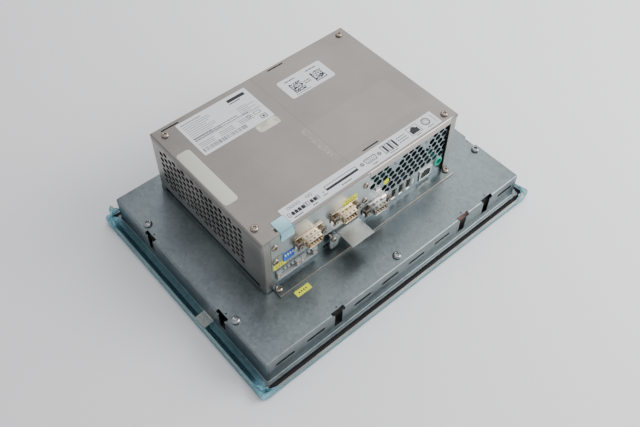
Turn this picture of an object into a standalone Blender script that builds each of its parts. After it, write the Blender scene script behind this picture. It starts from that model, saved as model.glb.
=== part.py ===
"""Panel computer with a front touch screen, resting on its front face with the rear towards +Z.

Metres, +Z up. The origin is under the middle of the bezel, on the surface that it lies on.
X runs along the long side of the bezel, and the side with the sockets faces -Y.
"""

import math

import bmesh
import bpy
from mathutils import Matrix, Vector

mm = 0.001

# Clearances
gap = 0.3 * mm  # between pieces that touch
slide_gap = 0.15 * mm  # round a lever or a plunger that slides
window_gap = 1 * mm  # round a socket that passes through the panel behind its own plate

# Front
bezel_width = 330 * mm
bezel_depth = 242.6 * mm
bezel_thickness = 5 * mm
bezel_corner = 6 * mm
window_width = 250 * mm
window_depth = 188 * mm
glass_land = 6 * mm  # how far the glass overlaps the window's edge
glass_thickness = 2 * mm
display_width = 270 * mm
display_depth = 196 * mm
display_thickness = 9 * mm
film_thickness = 0.4 * mm
film_turn_up = 4.2 * mm  # the film's height up the bezel's edge
gasket_inset = 4.2 * mm  # bezel's edge to the gasket's centre line
gasket_width = 3.6 * mm
gasket_height = 2.4 * mm
gasket_groove = 1.2 * mm

# Tray
tray_inset = 11.8 * mm  # bezel's edge to the tray's wall, along X
tray_inset_y = 9.4 * mm
tray_height = 27.3 * mm
tray_sheet = 1.2 * mm
tray_bend = 1.6 * mm
clamp_head = 13.8 * mm
clamp_stem = 8.5 * mm
clamp_head_height = 3.7 * mm
clamp_inset = 3 * mm
clamp_foot = 5.8 * mm  # stem's lower end above the flange
clamp_long_side = (-75.8 * mm, 77.1 * mm, 109.2 * mm)
clamp_short_side = (-51.4 * mm, 55.5 * mm)
vent_length = 19.8 * mm
vent_height = 3.7 * mm
vent_drop = 10.1 * mm  # tray's top down to the middle of the wall slots
vent_places = (-133.9 * mm, -101.2 * mm, -48.2 * mm, -15.5 * mm, 16.9 * mm, 50.1 * mm, 135.9 * mm)
tray_screw_side_inset = 6.9 * mm
tray_screw_end_inset = 8.8 * mm
tray_screw_rows = (-63 * mm, 67.7 * mm)
post_radius = 3.4 * mm
cable_hole_width = 32 * mm
cable_hole_depth = 16 * mm
cable_hole_y = 40 * mm

# Computer box
box_width = 222 * mm
box_depth = 156.7 * mm
box_height = 70.9 * mm
box_shift_x = -1 * mm
box_shift_y = 18.4 * mm
box_sheet = 1 * mm
base_sheet = 1.5 * mm
ledge_reach = 10.4 * mm
ledge_inset_left = 7.5 * mm
ledge_inset_right = 3.1 * mm
ledge_screw_places = (11.1 * mm, 91.8 * mm, 215.4 * mm)  # from the box's left side
ledge_screw_reach = 3.4 * mm
rail_inset = 2.6 * mm
rail_height = 5 * mm
side_flange = 7.9 * mm
side_foot_gap = 7.4 * mm  # open gap under the side wall
cover_lip = 4 * mm
front_lip = 7.4 * mm
front_lip_left = 115.5 * mm  # from the box's left side
cover_slot_length = 18.3 * mm
cover_slot_width = 0.9 * mm
panel_recess = 2.2 * mm

# Perforated sides
hole_radius = 2.4 * mm
hole_pitch_y = 6.6 * mm
hole_pitch_z = 7.2 * mm
hole_first_y = 30 * mm  # from the box's front
hole_margin = 3 * mm  # from the last hole to the end of its wall
fan_columns = range(4, 13)  # the columns that the right wall has, before its fan
hole_top_drop = 10.1 * mm  # box's top down to the first row
hole_columns = 1 + int((box_depth - side_flange - hole_first_y - hole_radius - hole_margin) / hole_pitch_y)
hole_rows = 1 + int((box_height - side_foot_gap - hole_top_drop - hole_radius - hole_margin) / hole_pitch_z)

# Honeycomb in the socket panel
comb_pitch = 7.62 * mm
comb_radius = 3.6 * mm
comb_first_x = 121.7 * mm  # from the box's left side
comb_first_z = 26 * mm  # from the tray's top
comb_rows = 6
comb_columns = 1 + int((box_width - box_sheet - gap - comb_radius - comb_first_x) / comb_pitch)
comb_rivet_columns = (3.5, 8.5)  # where along the row the two blind rivets sit
comb_rivet_z = 56.8 * mm

# Sockets, placed from the box's left side and the tray's top
option_left = 8.3 * mm
option_right = 115 * mm
option_bottom = 26.8 * mm
option_sheet = 1.2 * mm
option_screw_inset = 4 * mm
option_depth = 8 * mm  # plate's face to the backs of the parts that it frames
serial_places = ((47 * mm, 44.4 * mm), (86.2 * mm, 44.4 * mm), (125.8 * mm, 20.1 * mm))
serial_flange = (30.8 * mm, 12.5 * mm)
serial_body = (19 * mm, 10 * mm)
serial_shell = (17.8 * mm, 9.2 * mm)
serial_mouth = (16.9 * mm, 8.4 * mm)
serial_reach = 9.6 * mm
serial_wall = 0.5 * mm
dip_place = (25.6 * mm, 36 * mm)
dip_size = (11.7 * mm, 10.2 * mm)
dip_count = 4
dip_pitch = 2.6 * mm
dip_slot = (1.5 * mm, 3.6 * mm)
dip_slot_depth = 3 * mm
dip_lever_height = 1.9 * mm
reset_place = (70.6 * mm, 51.2 * mm)
reset_hole_radius = 1.1 * mm
reset_collar = 4 * mm
reset_travel = 0.6 * mm
header_z = 13.6 * mm
header_height = 10.5 * mm
header_reach = 2.2 * mm
header_length = 12 * mm
header_end = 4.6 * mm  # solid end of a header, round its threaded insert
header_cavity_height = 7.5 * mm
header_cavity_depth = 8.5 * mm
supply_header_left = 13.4 * mm
supply_header_width = 25.5 * mm
signal_header_width = 17.9 * mm
usb_places = (150.8 * mm, 160 * mm, 169.3 * mm)
usb_z = 13.4 * mm
usb_size = (6.2 * mm, 14.2 * mm)
usb_mouth = (4.9 * mm, 12.8 * mm)
light_place = (176.7 * mm, 10.8 * mm)
light_size = (2.4 * mm, 8 * mm)
ethernet_place = (191.3 * mm, 11.9 * mm)
ethernet_size = (16.3 * mm, 13.6 * mm)
ethernet_mouth = (11.9 * mm, 8.6 * mm)
round_place = (207.2 * mm, 16.6 * mm)
round_radius = 5.4 * mm
bracket_left = 68.9 * mm
bracket_right = 102.4 * mm
bracket_shelf_left = 77.4 * mm
bracket_bottom = 4.4 * mm
bracket_top = 22.9 * mm
bracket_stand_off = 5.2 * mm
bracket_reach = 24.5 * mm
bracket_sheet = 1 * mm
arch_width = 15.6 * mm
arch_top = 17.5 * mm
guard_screw_inset = 3.9 * mm
guard_screw_radius = 1.2 * mm
card_width = 42.8 * mm
card_length = 36.4 * mm
card_grip = 20 * mm  # how much of the card its socket holds
card_thickness = 3.3 * mm
card_left = 65.8 * mm
card_z = 7.2 * mm
lug_place = (127.5 * mm, 37.5 * mm)
lug_width = 5.4 * mm
lug_reach = 10 * mm

# Inside the box
board_thickness = 1.6 * mm
board_lift = 1.3 * mm
board_left = 64 * mm
power_board_z = 6.5 * mm
power_board_depth = 52 * mm
ribbon_width = 24 * mm
sink_size = 60 * mm
sink_height = 24 * mm
fin_count = 12
fan_clearance = 2.5 * mm  # from the fan's top to the cover
fan_thickness = 15 * mm
fan_blades = 7
fan_blade_chord = 10 * mm
fan_shift_y = 6 * mm
fan_hub_radius = 10 * mm

# Screws
screw_head_radius = 3.4 * mm
screw_head_height = 1.9 * mm
screw_radius = 1.5 * mm
screw_length = 5 * mm
big_head_radius = 4 * mm
big_head_height = 2.4 * mm
big_screw_radius = 1.9 * mm
big_screw_length = 7 * mm

# Levels, from the front face up
bezel_bottom = film_thickness + gap
bezel_top = bezel_bottom + bezel_thickness
flange_bottom = bezel_top + gap
flange_top = flange_bottom + tray_sheet
tray_top = flange_top + tray_height
base_bottom = tray_top + gap
base_top = base_bottom + base_sheet
box_top = tray_top + box_height
cover_under = box_top - box_sheet
inner_top = cover_under - gap
fan_bottom = base_top + rail_height + gap
fan_size = inner_top - fan_bottom - fan_clearance

# Edges, from the driving sizes
bezel_half = (bezel_width / 2, bezel_depth / 2)
tray_half = (bezel_half[0] - tray_inset, bezel_half[1] - tray_inset_y)
box_left = box_shift_x - box_width / 2
box_right = box_shift_x + box_width / 2
box_front = box_shift_y - box_depth / 2
box_back = box_shift_y + box_depth / 2
panel_front = box_front + panel_recess
panel_back = panel_front + box_sheet
board_bottom = base_top + board_lift
board_top = board_bottom + board_thickness
tray_screws = [(side * (tray_half[0] - tray_screw_side_inset), y) for side in (-1, 1) for y in tray_screw_rows]
tray_screws += [(0, side * (tray_half[1] - tray_screw_end_inset)) for side in (-1, 1)]
ledge_screws = [(box_left + x, box_front - ledge_screw_reach) for x in ledge_screw_places]
cover_screws = [
    (box_left + 9.5 * mm, box_back - 10.7 * mm),
    (box_right - 9.5 * mm, box_back - 7.9 * mm),
    (box_left + 6.2 * mm, box_front + 17.1 * mm),
    (box_right - 10.2 * mm, box_front + 7.6 * mm),
]
cover_slots = [
    (box_left + 18 * mm, box_back - 4.5 * mm),
    (box_left + 136.2 * mm, box_back - 3.6 * mm),
    (box_left + 135.6 * mm, box_front + 22.4 * mm),
]
card_middle = box_left + card_left + card_width / 2

materials = {
    "bezel_aluminium": ((0.55, 0.54, 0.51), 0.35, 1.0),
    "zinc_sheet": ((0.36, 0.4, 0.42), 0.42, 1.0),
    "nickel_sheet": ((0.5, 0.46, 0.42), 0.38, 1.0),
    "bright_sheet": ((0.6, 0.6, 0.58), 0.35, 1.0),
    "screw_steel": ((0.55, 0.5, 0.44), 0.3, 1.0),
    "gold_shell": ((0.85, 0.72, 0.5), 0.3, 1.0),
    "nickel_shell": ((0.75, 0.74, 0.7), 0.3, 1.0),
    "dark_glass": ((0.03, 0.03, 0.035), 0.1, 0.0),
    "display_metal": ((0.45, 0.46, 0.47), 0.4, 1.0),
    "film_blue": ((0.45, 0.75, 0.85), 0.2, 0.0),
    "gasket_rubber": ((0.02, 0.02, 0.02), 0.7, 0.0),
    "switch_blue": ((0.03, 0.18, 0.55), 0.45, 0.0),
    "switch_white": ((0.85, 0.85, 0.8), 0.5, 0.0),
    "header_grey": ((0.55, 0.57, 0.58), 0.5, 0.0),
    "socket_black": ((0.03, 0.03, 0.03), 0.5, 0.0),
    "socket_green": ((0.03, 0.45, 0.33), 0.45, 0.0),
    "light_pipe": ((0.8, 0.85, 0.85), 0.2, 0.0),
    "board_green": ((0.03, 0.2, 0.1), 0.5, 0.0),
    "sink_aluminium": ((0.6, 0.6, 0.6), 0.4, 1.0),
    "cell_steel": ((0.7, 0.7, 0.7), 0.3, 1.0),
    "wire_red": ((0.5, 0.03, 0.02), 0.5, 0.0),
    "wire_grey": ((0.4, 0.4, 0.42), 0.5, 0.0),
}


def clear_scene():
    for obj in list(bpy.data.objects):
        bpy.data.objects.remove(obj)


def material(name):
    found = bpy.data.materials.get(name)
    if found:
        return found
    colour, roughness, metallic = materials[name]
    made = bpy.data.materials.new(name)
    made.use_nodes = True
    shader = made.node_tree.nodes["Principled BSDF"]
    shader.inputs["Base Color"].default_value = (*colour, 1)
    shader.inputs["Roughness"].default_value = roughness
    shader.inputs["Metallic"].default_value = metallic
    return made


def add_object(name, bm, material_name=None, origin=(0, 0, 0)):
    """A mesh object with its origin at a point, or a hidden cutter where no material is given."""
    bmesh.ops.translate(bm, verts=bm.verts, vec=-Vector(origin))
    bmesh.ops.recalc_face_normals(bm, faces=bm.faces)
    mesh = bpy.data.meshes.new(name)
    bm.to_mesh(mesh)
    bm.free()
    obj = bpy.data.objects.new(name, mesh)
    obj.location = origin
    bpy.context.scene.collection.objects.link(obj)
    if material_name:
        mesh.materials.append(material(material_name))
        mesh.shade_smooth()
        mesh.set_sharp_from_angle(angle=math.radians(30))
    else:
        obj.hide_render = True
        obj.display_type = "WIRE"
    return obj


def combine(obj, operation, bm):
    """Cuts a mesh away from the object, or joins it on, with a Boolean."""
    helper = add_object(obj.name + "_" + operation.lower(), bm)
    modifier = obj.modifiers.new(operation.title(), "BOOLEAN")
    modifier.operation = operation
    modifier.use_self = True
    modifier.object = helper


def add_box(bm, low, high):
    size = Vector(high) - Vector(low)
    middle = (Vector(high) + Vector(low)) / 2
    matrix = Matrix.Translation(middle) @ Matrix.Diagonal((*size, 1))
    bmesh.ops.create_cube(bm, size=1, matrix=matrix)


def add_loft(bm, rings):
    """A closed body through rings of equal point counts, capped at both ends."""
    loops = [[bm.verts.new(point) for point in ring] for ring in rings]
    count = len(loops[0])
    for first, second in zip(loops, loops[1:]):
        for i in range(count):
            j = (i + 1) % count
            bm.faces.new((first[i], first[j], second[j], second[i]))
    bm.faces.new(loops[0])
    bm.faces.new(loops[-1])


def add_closed_loft(bm, rings):
    """A frame-shaped body: rings that run round its section and meet again."""
    loops = [[bm.verts.new(point) for point in ring] for ring in rings]
    count = len(loops[0])
    for first, second in zip(loops, loops[1:] + loops[:1]):
        for i in range(count):
            j = (i + 1) % count
            bm.faces.new((first[i], first[j], second[j], second[i]))


def corner_points(half_x, half_y, radius, steps):
    """A rectangle's outline with round corners, anticlockwise round the middle."""
    points = []
    centres = ((1, 1), (-1, 1), (-1, -1), (1, -1))
    for turn, (side_x, side_y) in enumerate(centres):
        for step in range(steps + 1):
            angle = (turn + step / steps) * math.pi / 2
            x = side_x * (half_x - radius) + radius * math.cos(angle)
            y = side_y * (half_y - radius) + radius * math.sin(angle)
            points.append((x, y))
    return points


def circle_points(radius, count, start=0):
    angles = [start + 2 * math.pi * i / count for i in range(count)]
    return [(radius * math.cos(angle), radius * math.sin(angle)) for angle in angles]


def flat_ring(outline, z, centre=(0, 0)):
    return [(centre[0] + x, centre[1] + y, z) for x, y in outline]


def upright_ring(outline, y, centre):
    """An outline stood in the XZ plane round a centre given as X and Z."""
    return [(centre[0] + x, y, centre[1] + z) for x, z in outline]


def add_post(bm, centre, radius, low, high, count=12):
    outline = circle_points(radius, count)
    add_loft(bm, [flat_ring(outline, low, centre), flat_ring(outline, high, centre)])


def frame_levels(half, corner, steps=3):
    """A function that gives the ring of a frame, so far inside an outline, at a level."""

    def ring(inset, z):
        radius = max(corner - inset, 0.4 * mm)
        return flat_ring(corner_points(half[0] - inset, half[1] - inset, radius, steps), z)

    return ring


def sheet_object(name, outline, holes, thickness, material_name):
    """A flat sheet in the XY plane with holes, made from one filled curve, thick about its own plane."""
    curve = bpy.data.curves.new(name, "CURVE")
    curve.dimensions = "2D"
    curve.fill_mode = "BOTH"
    curve.extrude = thickness / 2
    for points in [outline] + holes:
        spline = curve.splines.new("POLY")
        spline.points.add(len(points) - 1)
        for point, (x, y) in zip(spline.points, points):
            point.co = (x, y, 0, 1)
        spline.use_cyclic_u = True
    curve.materials.append(material(material_name))
    obj = bpy.data.objects.new(name, curve)
    bpy.context.scene.collection.objects.link(obj)
    return obj


def rectangle(left, bottom, right, top):
    return [(left, bottom), (right, bottom), (right, top), (left, top)]


def centred(centre, size, grow=0):
    half_x = size[0] / 2 + grow
    half_z = size[1] / 2 + grow
    return rectangle(centre[0] - half_x, centre[1] - half_z, centre[0] + half_x, centre[1] + half_z)


def moved(outline, centre):
    return [(x + centre[0], y + centre[1]) for x, y in outline]


def box_place(place):
    """X and Z of a place given from the box's left side and the tray's top."""
    return (box_left + place[0], tray_top + place[1])


def stand_up(obj, front):
    """Turns a flat sheet to face -Y, with its front face at the given Y."""
    obj.rotation_euler = (math.pi / 2, 0, 0)
    obj.location = (0, front + obj.data.extrude, 0)
    return obj


def make_film():
    stand = film_thickness + gap
    outer = frame_levels((bezel_half[0] + stand, bezel_half[1] + stand), bezel_corner)
    rim = bezel_bottom + film_turn_up
    bm = bmesh.new()
    rings = [outer(0.2 * mm, 0), outer(0, 0.2 * mm), outer(0, rim), outer(film_thickness, rim)]
    rings.append(outer(film_thickness, film_thickness))
    add_loft(bm, rings)
    add_object("protective_film", bm, "film_blue")


def make_bezel():
    ring = frame_levels(bezel_half, bezel_corner)
    inner_x = (bezel_width - window_width) / 2
    inner_y = (bezel_depth - window_depth) / 2

    def window(grow, z):
        half = (bezel_half[0] - inner_x + grow, bezel_half[1] - inner_y + grow)
        return flat_ring(corner_points(*half, 1 * mm, 3), z)

    seat_top = bezel_bottom + glass_thickness + gap
    edge = 0.8 * mm
    bm = bmesh.new()
    rings = [ring(edge, bezel_bottom), ring(0, bezel_bottom + edge), ring(0, bezel_top - edge / 2)]
    rings += [ring(edge / 2, bezel_top), window(0, bezel_top), window(0, seat_top)]
    rings += [window(glass_land + gap, seat_top), window(glass_land + gap, bezel_bottom)]
    add_closed_loft(bm, rings)
    bezel = add_object("front_bezel", bm, "bezel_aluminium")

    posts = bmesh.new()
    post_top = tray_top - tray_sheet - gap
    for place in tray_screws:
        add_post(posts, place, post_radius, bezel_top - 1 * mm, post_top)
    combine(bezel, "UNION", posts)

    cuts = bmesh.new()
    groove = frame_levels((bezel_half[0] - gasket_inset, bezel_half[1] - gasket_inset), bezel_corner)
    half_width = gasket_width / 2 + gap
    floor = bezel_top - gasket_groove - gap
    brim = bezel_top + 1 * mm
    section = ((-half_width, floor), (-half_width, brim), (half_width, brim), (half_width, floor))
    add_closed_loft(cuts, [groove(inset, z) for inset, z in section])
    for place in tray_screws:
        add_post(cuts, place, big_screw_radius + gap, post_top - big_screw_length, post_top + 1 * mm, 8)
    combine(bezel, "DIFFERENCE", cuts)


def make_glass():
    half = (window_width / 2 + glass_land, window_depth / 2 + glass_land)
    ring = frame_levels(half, 1 * mm)
    bm = bmesh.new()
    add_loft(bm, [ring(0, bezel_bottom), ring(0, bezel_bottom + glass_thickness)])
    add_object("touch_glass", bm, "dark_glass")


def make_display():
    bottom = bezel_top + gap
    ring = frame_levels((display_width / 2, display_depth / 2), 1.5 * mm)
    step = 8 * mm
    bm = bmesh.new()
    rings = [ring(0, bottom), ring(0, bottom + display_thickness * 0.6)]
    rings += [ring(step, bottom + display_thickness * 0.6), ring(step, bottom + display_thickness)]
    add_loft(bm, rings)
    add_object("display_panel", bm, "display_metal")


def make_gasket():
    ring = frame_levels((bezel_half[0] - gasket_inset, bezel_half[1] - gasket_inset), bezel_corner)
    low = bezel_top - gasket_groove
    high = low + gasket_height
    half = gasket_width / 2
    edge = 0.7 * mm
    bm = bmesh.new()
    section = [(-half, low), (-half, high - edge), (edge - half, high)]
    section += [(half - edge, high), (half, high - edge), (half, low)]
    add_closed_loft(bm, [ring(inset, z) for inset, z in section])
    add_object("panel_gasket", bm, "gasket_rubber")


def clamp_cutouts(bm):
    """T-shaped cut-outs over the tray's top edge, where the mounting clamps hook in."""
    stem_low = flange_top + clamp_foot
    head_low = tray_top - clamp_head_height
    high = tray_top + 1 * mm
    for side in (-1, 1):
        for x in clamp_long_side:
            inner = side * (tray_half[1] - clamp_inset)
            outer = side * (tray_half[1] + 1 * mm)
            wall = side * (tray_half[1] - tray_sheet - 0.6 * mm)
            low_y, high_y = sorted((inner, outer))
            stem_y = sorted((wall, outer))
            add_box(bm, (x - clamp_head / 2, low_y, head_low), (x + clamp_head / 2, high_y, high))
            low = (x - clamp_stem / 2, stem_y[0], stem_low)
            add_box(bm, low, (x + clamp_stem / 2, stem_y[1], head_low + 0.1 * mm))
        for y in clamp_short_side:
            inner = side * (tray_half[0] - clamp_inset)
            outer = side * (tray_half[0] + 1 * mm)
            wall = side * (tray_half[0] - tray_sheet - 0.6 * mm)
            low_x, high_x = sorted((inner, outer))
            stem_x = sorted((wall, outer))
            add_box(bm, (low_x, y - clamp_head / 2, head_low), (high_x, y + clamp_head / 2, high))
            low = (stem_x[0], y - clamp_stem / 2, stem_low)
            add_box(bm, low, (stem_x[1], y + clamp_stem / 2, head_low + 0.1 * mm))


def make_tray():
    ring = frame_levels(tray_half, 3 * mm)
    seat = gasket_inset + gasket_width / 2 + gap
    flange = frame_levels((bezel_half[0] - seat, bezel_half[1] - seat), bezel_corner)
    inner_top_z = tray_top - tray_sheet
    bm = bmesh.new()
    bend_middle = tray_bend * 0.3
    rings = [flange(0, flange_bottom), flange(0, flange_top), ring(0, flange_top), ring(0, tray_top - tray_bend)]
    rings += [ring(bend_middle, tray_top - bend_middle), ring(tray_bend, tray_top)]
    add_loft(bm, rings + [ring(tray_bend + tray_sheet, tray_top)])
    tray = add_object("mounting_tray", bm, "zinc_sheet")

    hollow = bmesh.new()
    rings = [ring(tray_sheet, flange_bottom - 1 * mm), ring(tray_sheet, inner_top_z - tray_bend * 0.5)]
    add_loft(hollow, rings + [ring(tray_sheet + tray_bend * 0.5, inner_top_z)])
    combine(tray, "DIFFERENCE", hollow)

    cuts = bmesh.new()
    clamp_cutouts(cuts)
    vent_z = tray_top - vent_drop
    for x in vent_places:
        for side in (-1, 1):
            wall = sorted((side * (tray_half[1] - tray_sheet - 1 * mm), side * (tray_half[1] + 1 * mm)))
            low = (x - vent_length / 2, wall[0], vent_z - vent_height / 2)
            add_box(cuts, low, (x + vent_length / 2, wall[1], vent_z + vent_height / 2))
    through = (inner_top_z - 1 * mm, tray_top + 1 * mm)
    for place in tray_screws:
        add_post(cuts, place, big_screw_radius + gap, *through, 8)
    for place in ledge_screws:
        add_post(cuts, place, screw_radius + gap, *through, 8)
    hole = (cable_hole_width / 2, cable_hole_depth / 2)
    add_box(cuts, (-hole[0], cable_hole_y - hole[1], through[0]), (hole[0], cable_hole_y + hole[1], through[1]))
    combine(tray, "DIFFERENCE", cuts)


def make_base_plate():
    bm = bmesh.new()
    add_box(bm, (box_left, box_front + gap, base_bottom), (box_right, box_back, base_top))
    base = add_object("base_plate", bm, "zinc_sheet")
    extra = bmesh.new()
    ledge_low = (box_left + ledge_inset_left, box_front - ledge_reach, base_bottom)
    add_box(extra, ledge_low, (box_right - ledge_inset_right, box_front + 1 * mm, base_top))
    for side, edge in ((1, box_left), (-1, box_right)):
        rail = sorted((edge + side * rail_inset, edge + side * (rail_inset + box_sheet)))
        low = (rail[0], box_front + side_flange, base_bottom + 0.2 * mm)
        add_box(extra, low, (rail[1], box_back - side_flange, base_top + rail_height))
    combine(base, "UNION", extra)
    cuts = bmesh.new()
    for place in ledge_screws:
        add_post(cuts, place, screw_radius + gap, base_bottom - 1 * mm, base_top + 1 * mm, 8)
    hole = (cable_hole_width / 2, cable_hole_depth / 2)
    low = (-hole[0], cable_hole_y - hole[1], base_bottom - 1 * mm)
    add_box(cuts, low, (hole[0], cable_hole_y + hole[1], base_top + 1 * mm))
    combine(base, "DIFFERENCE", cuts)


def perforation(bm, low_x, high_x, columns):
    """Hexagonal prisms through a side wall, in staggered columns."""
    outline = circle_points(hole_radius, 6)
    for column in columns:
        y = box_front + hole_first_y + column * hole_pitch_y
        rows = hole_rows - column % 2
        for row in range(rows):
            z = box_top - hole_top_drop - (row + column % 2 / 2) * hole_pitch_z
            rings = [[(x, y + a, z + b) for a, b in outline] for x in (low_x, high_x)]
            add_loft(bm, rings)


def make_side_panel(name, side):
    """A perforated side wall with flanges turned in at the front and the back."""
    edge = box_left if side < 0 else box_right
    inward = -side

    def across(distance):
        return edge + inward * distance

    outline = [
        (across(0), box_front),
        (across(side_flange), box_front),
        (across(side_flange), box_front + box_sheet),
        (across(box_sheet), box_front + box_sheet),
        (across(box_sheet), box_back - box_sheet),
        (across(side_flange), box_back - box_sheet),
        (across(side_flange), box_back),
        (across(0), box_back),
    ]
    bm = bmesh.new()
    foot = base_top + gap
    add_loft(bm, [flat_ring(outline, foot), flat_ring(outline, inner_top)])
    panel = add_object(name, bm, "nickel_sheet")
    cuts = bmesh.new()
    wall = sorted((across(-1 * mm), across(box_sheet + 0.5 * mm)))
    low = (wall[0], box_front + side_flange, foot - 1 * mm)
    add_box(cuts, low, (wall[1], box_back - side_flange, tray_top + side_foot_gap))
    lip = sorted((across(-1 * mm), across(side_flange + 1 * mm)))
    low = (lip[0], box_front + box_sheet + gap / 2, box_top - cover_lip - gap)
    add_box(cuts, low, (lip[1], box_back + 1 * mm, box_top))
    perforation(cuts, *wall, range(hole_columns) if side < 0 else fan_columns)
    combine(panel, "DIFFERENCE", cuts)


def make_back_panel():
    bm = bmesh.new()
    low = (box_left + side_flange + gap, box_back - box_sheet, base_top + gap)
    add_box(bm, low, (box_right - side_flange - gap, box_back, box_top - cover_lip - gap))
    add_object("back_panel", bm, "nickel_sheet")


def make_cover():
    bm = bmesh.new()
    add_box(bm, (box_left, box_front, cover_under), (box_right, box_back, box_top))
    cover = add_object("top_cover", bm, "nickel_sheet")
    lips = bmesh.new()
    lip_low = box_top - cover_lip
    start = box_front + box_sheet + gap
    root = box_top - box_sheet / 2
    add_box(lips, (box_left, start, lip_low), (box_left + box_sheet, box_back, root))
    add_box(lips, (box_right - box_sheet, start, lip_low), (box_right, box_back, root))
    low = (box_left + box_sheet / 2, box_back - box_sheet, lip_low)
    add_box(lips, low, (box_right - box_sheet / 2, box_back, root))
    lip_right = box_right - side_flange - gap
    low = (box_left + front_lip_left, box_front, box_top - front_lip)
    add_box(lips, low, (lip_right, box_front + box_sheet, root))
    combine(cover, "UNION", lips)
    cuts = bmesh.new()
    through = (cover_under - 1 * mm, box_top + 1 * mm)
    for place in cover_screws:
        add_post(cuts, place, screw_radius + gap, *through, 8)
    for x, y in cover_slots:
        half = (cover_slot_length / 2, cover_slot_width / 2)
        add_box(cuts, (x - half[0], y - half[1], through[0]), (x + half[0], y + half[1], through[1]))
    combine(cover, "DIFFERENCE", cuts)


def comb_holes():
    """The honeycomb's cells, left out round two blind rivets and by the earth lug and the lower serial port."""
    row_rise = comb_pitch * math.sqrt(3) / 2
    cell = circle_points(comb_radius, 6, math.pi / 6)
    rivets = [box_place((comb_first_x + column * comb_pitch, comb_rivet_z)) for column in comb_rivet_columns]
    holes = []
    for row in range(comb_rows):
        shift = (row + 1) % 2
        for column in range(comb_columns - shift):
            x, z = box_place((comb_first_x + (column + shift / 2) * comb_pitch, comb_first_z + row * row_rise))
            by_lug = row < 3 and column < 2
            by_rivet = any(math.hypot(x - a, z - b) < 0.7 * comb_pitch for a, b in rivets)
            if not by_lug and not by_rivet:
                holes.append(moved(cell, (x, z)))
    return holes


def make_io_panel():
    left = box_left + box_sheet + gap
    right = box_right - box_sheet - gap
    bottom = base_top + gap
    holes = comb_holes()
    behind_plate = [(dip_place, dip_size), (reset_place, (reset_collar, reset_collar))]
    behind_plate += [(place, serial_body) for place in serial_places[:2]]
    holes += [centred(box_place(place), size, window_gap) for place, size in behind_plate]
    holes.append(centred(box_place(serial_places[2]), serial_body, gap))
    holes += [centred(box_place((x, usb_z)), usb_size, gap) for x in usb_places]
    holes.append(centred(box_place(light_place), light_size, gap))
    holes.append(centred(box_place(ethernet_place), ethernet_size, gap))
    holes.append(moved(circle_points(round_radius + gap, 16), box_place(round_place)))
    header_right = supply_header_left + supply_header_width + signal_header_width + gap
    header_low = tray_top + header_z - header_height / 2 - gap
    header_high = tray_top + header_z + header_height / 2 + gap
    header_edges = (box_left + supply_header_left - gap, box_left + header_right + gap)
    holes.append(rectangle(header_edges[0], header_low, header_edges[1], header_high))
    card_half = card_thickness / 2 + gap
    card_z_middle = tray_top + card_z
    card_edges = (card_middle - card_width / 2 - gap, card_middle + card_width / 2 + gap)
    holes.append(rectangle(card_edges[0], card_z_middle - card_half, card_edges[1], card_z_middle + card_half))
    for place in bracket_screw_places():
        holes.append(moved(circle_points(screw_radius + gap, 8), place))
    panel = sheet_object("io_panel", rectangle(left, bottom, right, inner_top), holes, box_sheet, "bright_sheet")
    stand_up(panel, panel_front)


def option_screw_places():
    low = tray_top + option_bottom + 11.5 * mm
    high = inner_top - 11.6 * mm
    left = box_left + option_left + option_screw_inset
    right = box_left + option_right - option_screw_inset
    return [(x, z) for x in (left, right) for z in (low, high)]


def make_option_plate():
    left = box_left + side_flange + gap
    outline = rectangle(left, tray_top + option_bottom, box_left + option_right, inner_top)
    holes = [centred(box_place(place), serial_body, gap) for place in serial_places[:2]]
    holes.append(centred(box_place(dip_place), dip_size, gap))
    holes.append(moved(circle_points(reset_hole_radius + slide_gap, 12), box_place(reset_place)))
    for place in option_screw_places():
        holes.append(moved(circle_points(screw_radius + gap, 8), place))
    plate = sheet_object("option_plate", outline, holes, option_sheet, "bright_sheet")
    stand_up(plate, box_front)


def shell_outline(size, wall=0):
    """The D-shaped outline of a serial plug's shell, narrower at the bottom."""
    half_x = size[0] / 2 - wall
    half_z = size[1] / 2 - wall
    slope = size[1] * math.tan(math.radians(10)) / 2
    points = []
    for x, z in corner_points(half_x, half_z, 2 * mm, 2):
        points.append((x - math.copysign(slope, x) * (half_z - z) / (2 * half_z), z))
    return points


def box_outline(size):
    return corner_points(size[0] / 2, size[1] / 2, 0.5 * mm, 2)


def make_serial_port(number, place, face, back, shell_material):
    """A nine-way plug with its flange on a panel's face and a second flange half way up its shell."""
    centre = box_place(place)
    flange_back = face - gap
    flange_front = flange_back - 1 * mm
    middle = flange_front - (serial_reach - 1 * mm) * 0.42
    front = face - serial_reach
    sections = [
        (box_outline(serial_body), back),
        (box_outline(serial_body), flange_back),
        (box_outline(serial_flange), flange_back),
        (box_outline(serial_flange), flange_front),
        (shell_outline(serial_shell), flange_front),
        (shell_outline(serial_shell), middle),
        (box_outline((serial_flange[0], serial_shell[1] + 1 * mm)), middle),
        (box_outline((serial_flange[0], serial_shell[1] + 1 * mm)), middle - 0.8 * mm),
        (shell_outline(serial_mouth), middle - 0.8 * mm),
        (shell_outline(serial_mouth), front),
        (shell_outline(serial_mouth, serial_wall), front),
        (shell_outline(serial_mouth, serial_wall), middle - 1.2 * mm),
    ]
    bm = bmesh.new()
    add_loft(bm, [upright_ring(outline, y, centre) for outline, y in sections])
    add_object(f"serial_port_{number}", bm, shell_material)


def socket_object(name, place, sections, material_name):
    """A socket body lofted from the back to its rim and down into its mouth."""
    centre = box_place(place)
    bm = bmesh.new()
    add_loft(bm, [upright_ring(outline, y, centre) for outline, y in sections])
    add_object(name, bm, material_name)


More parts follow.
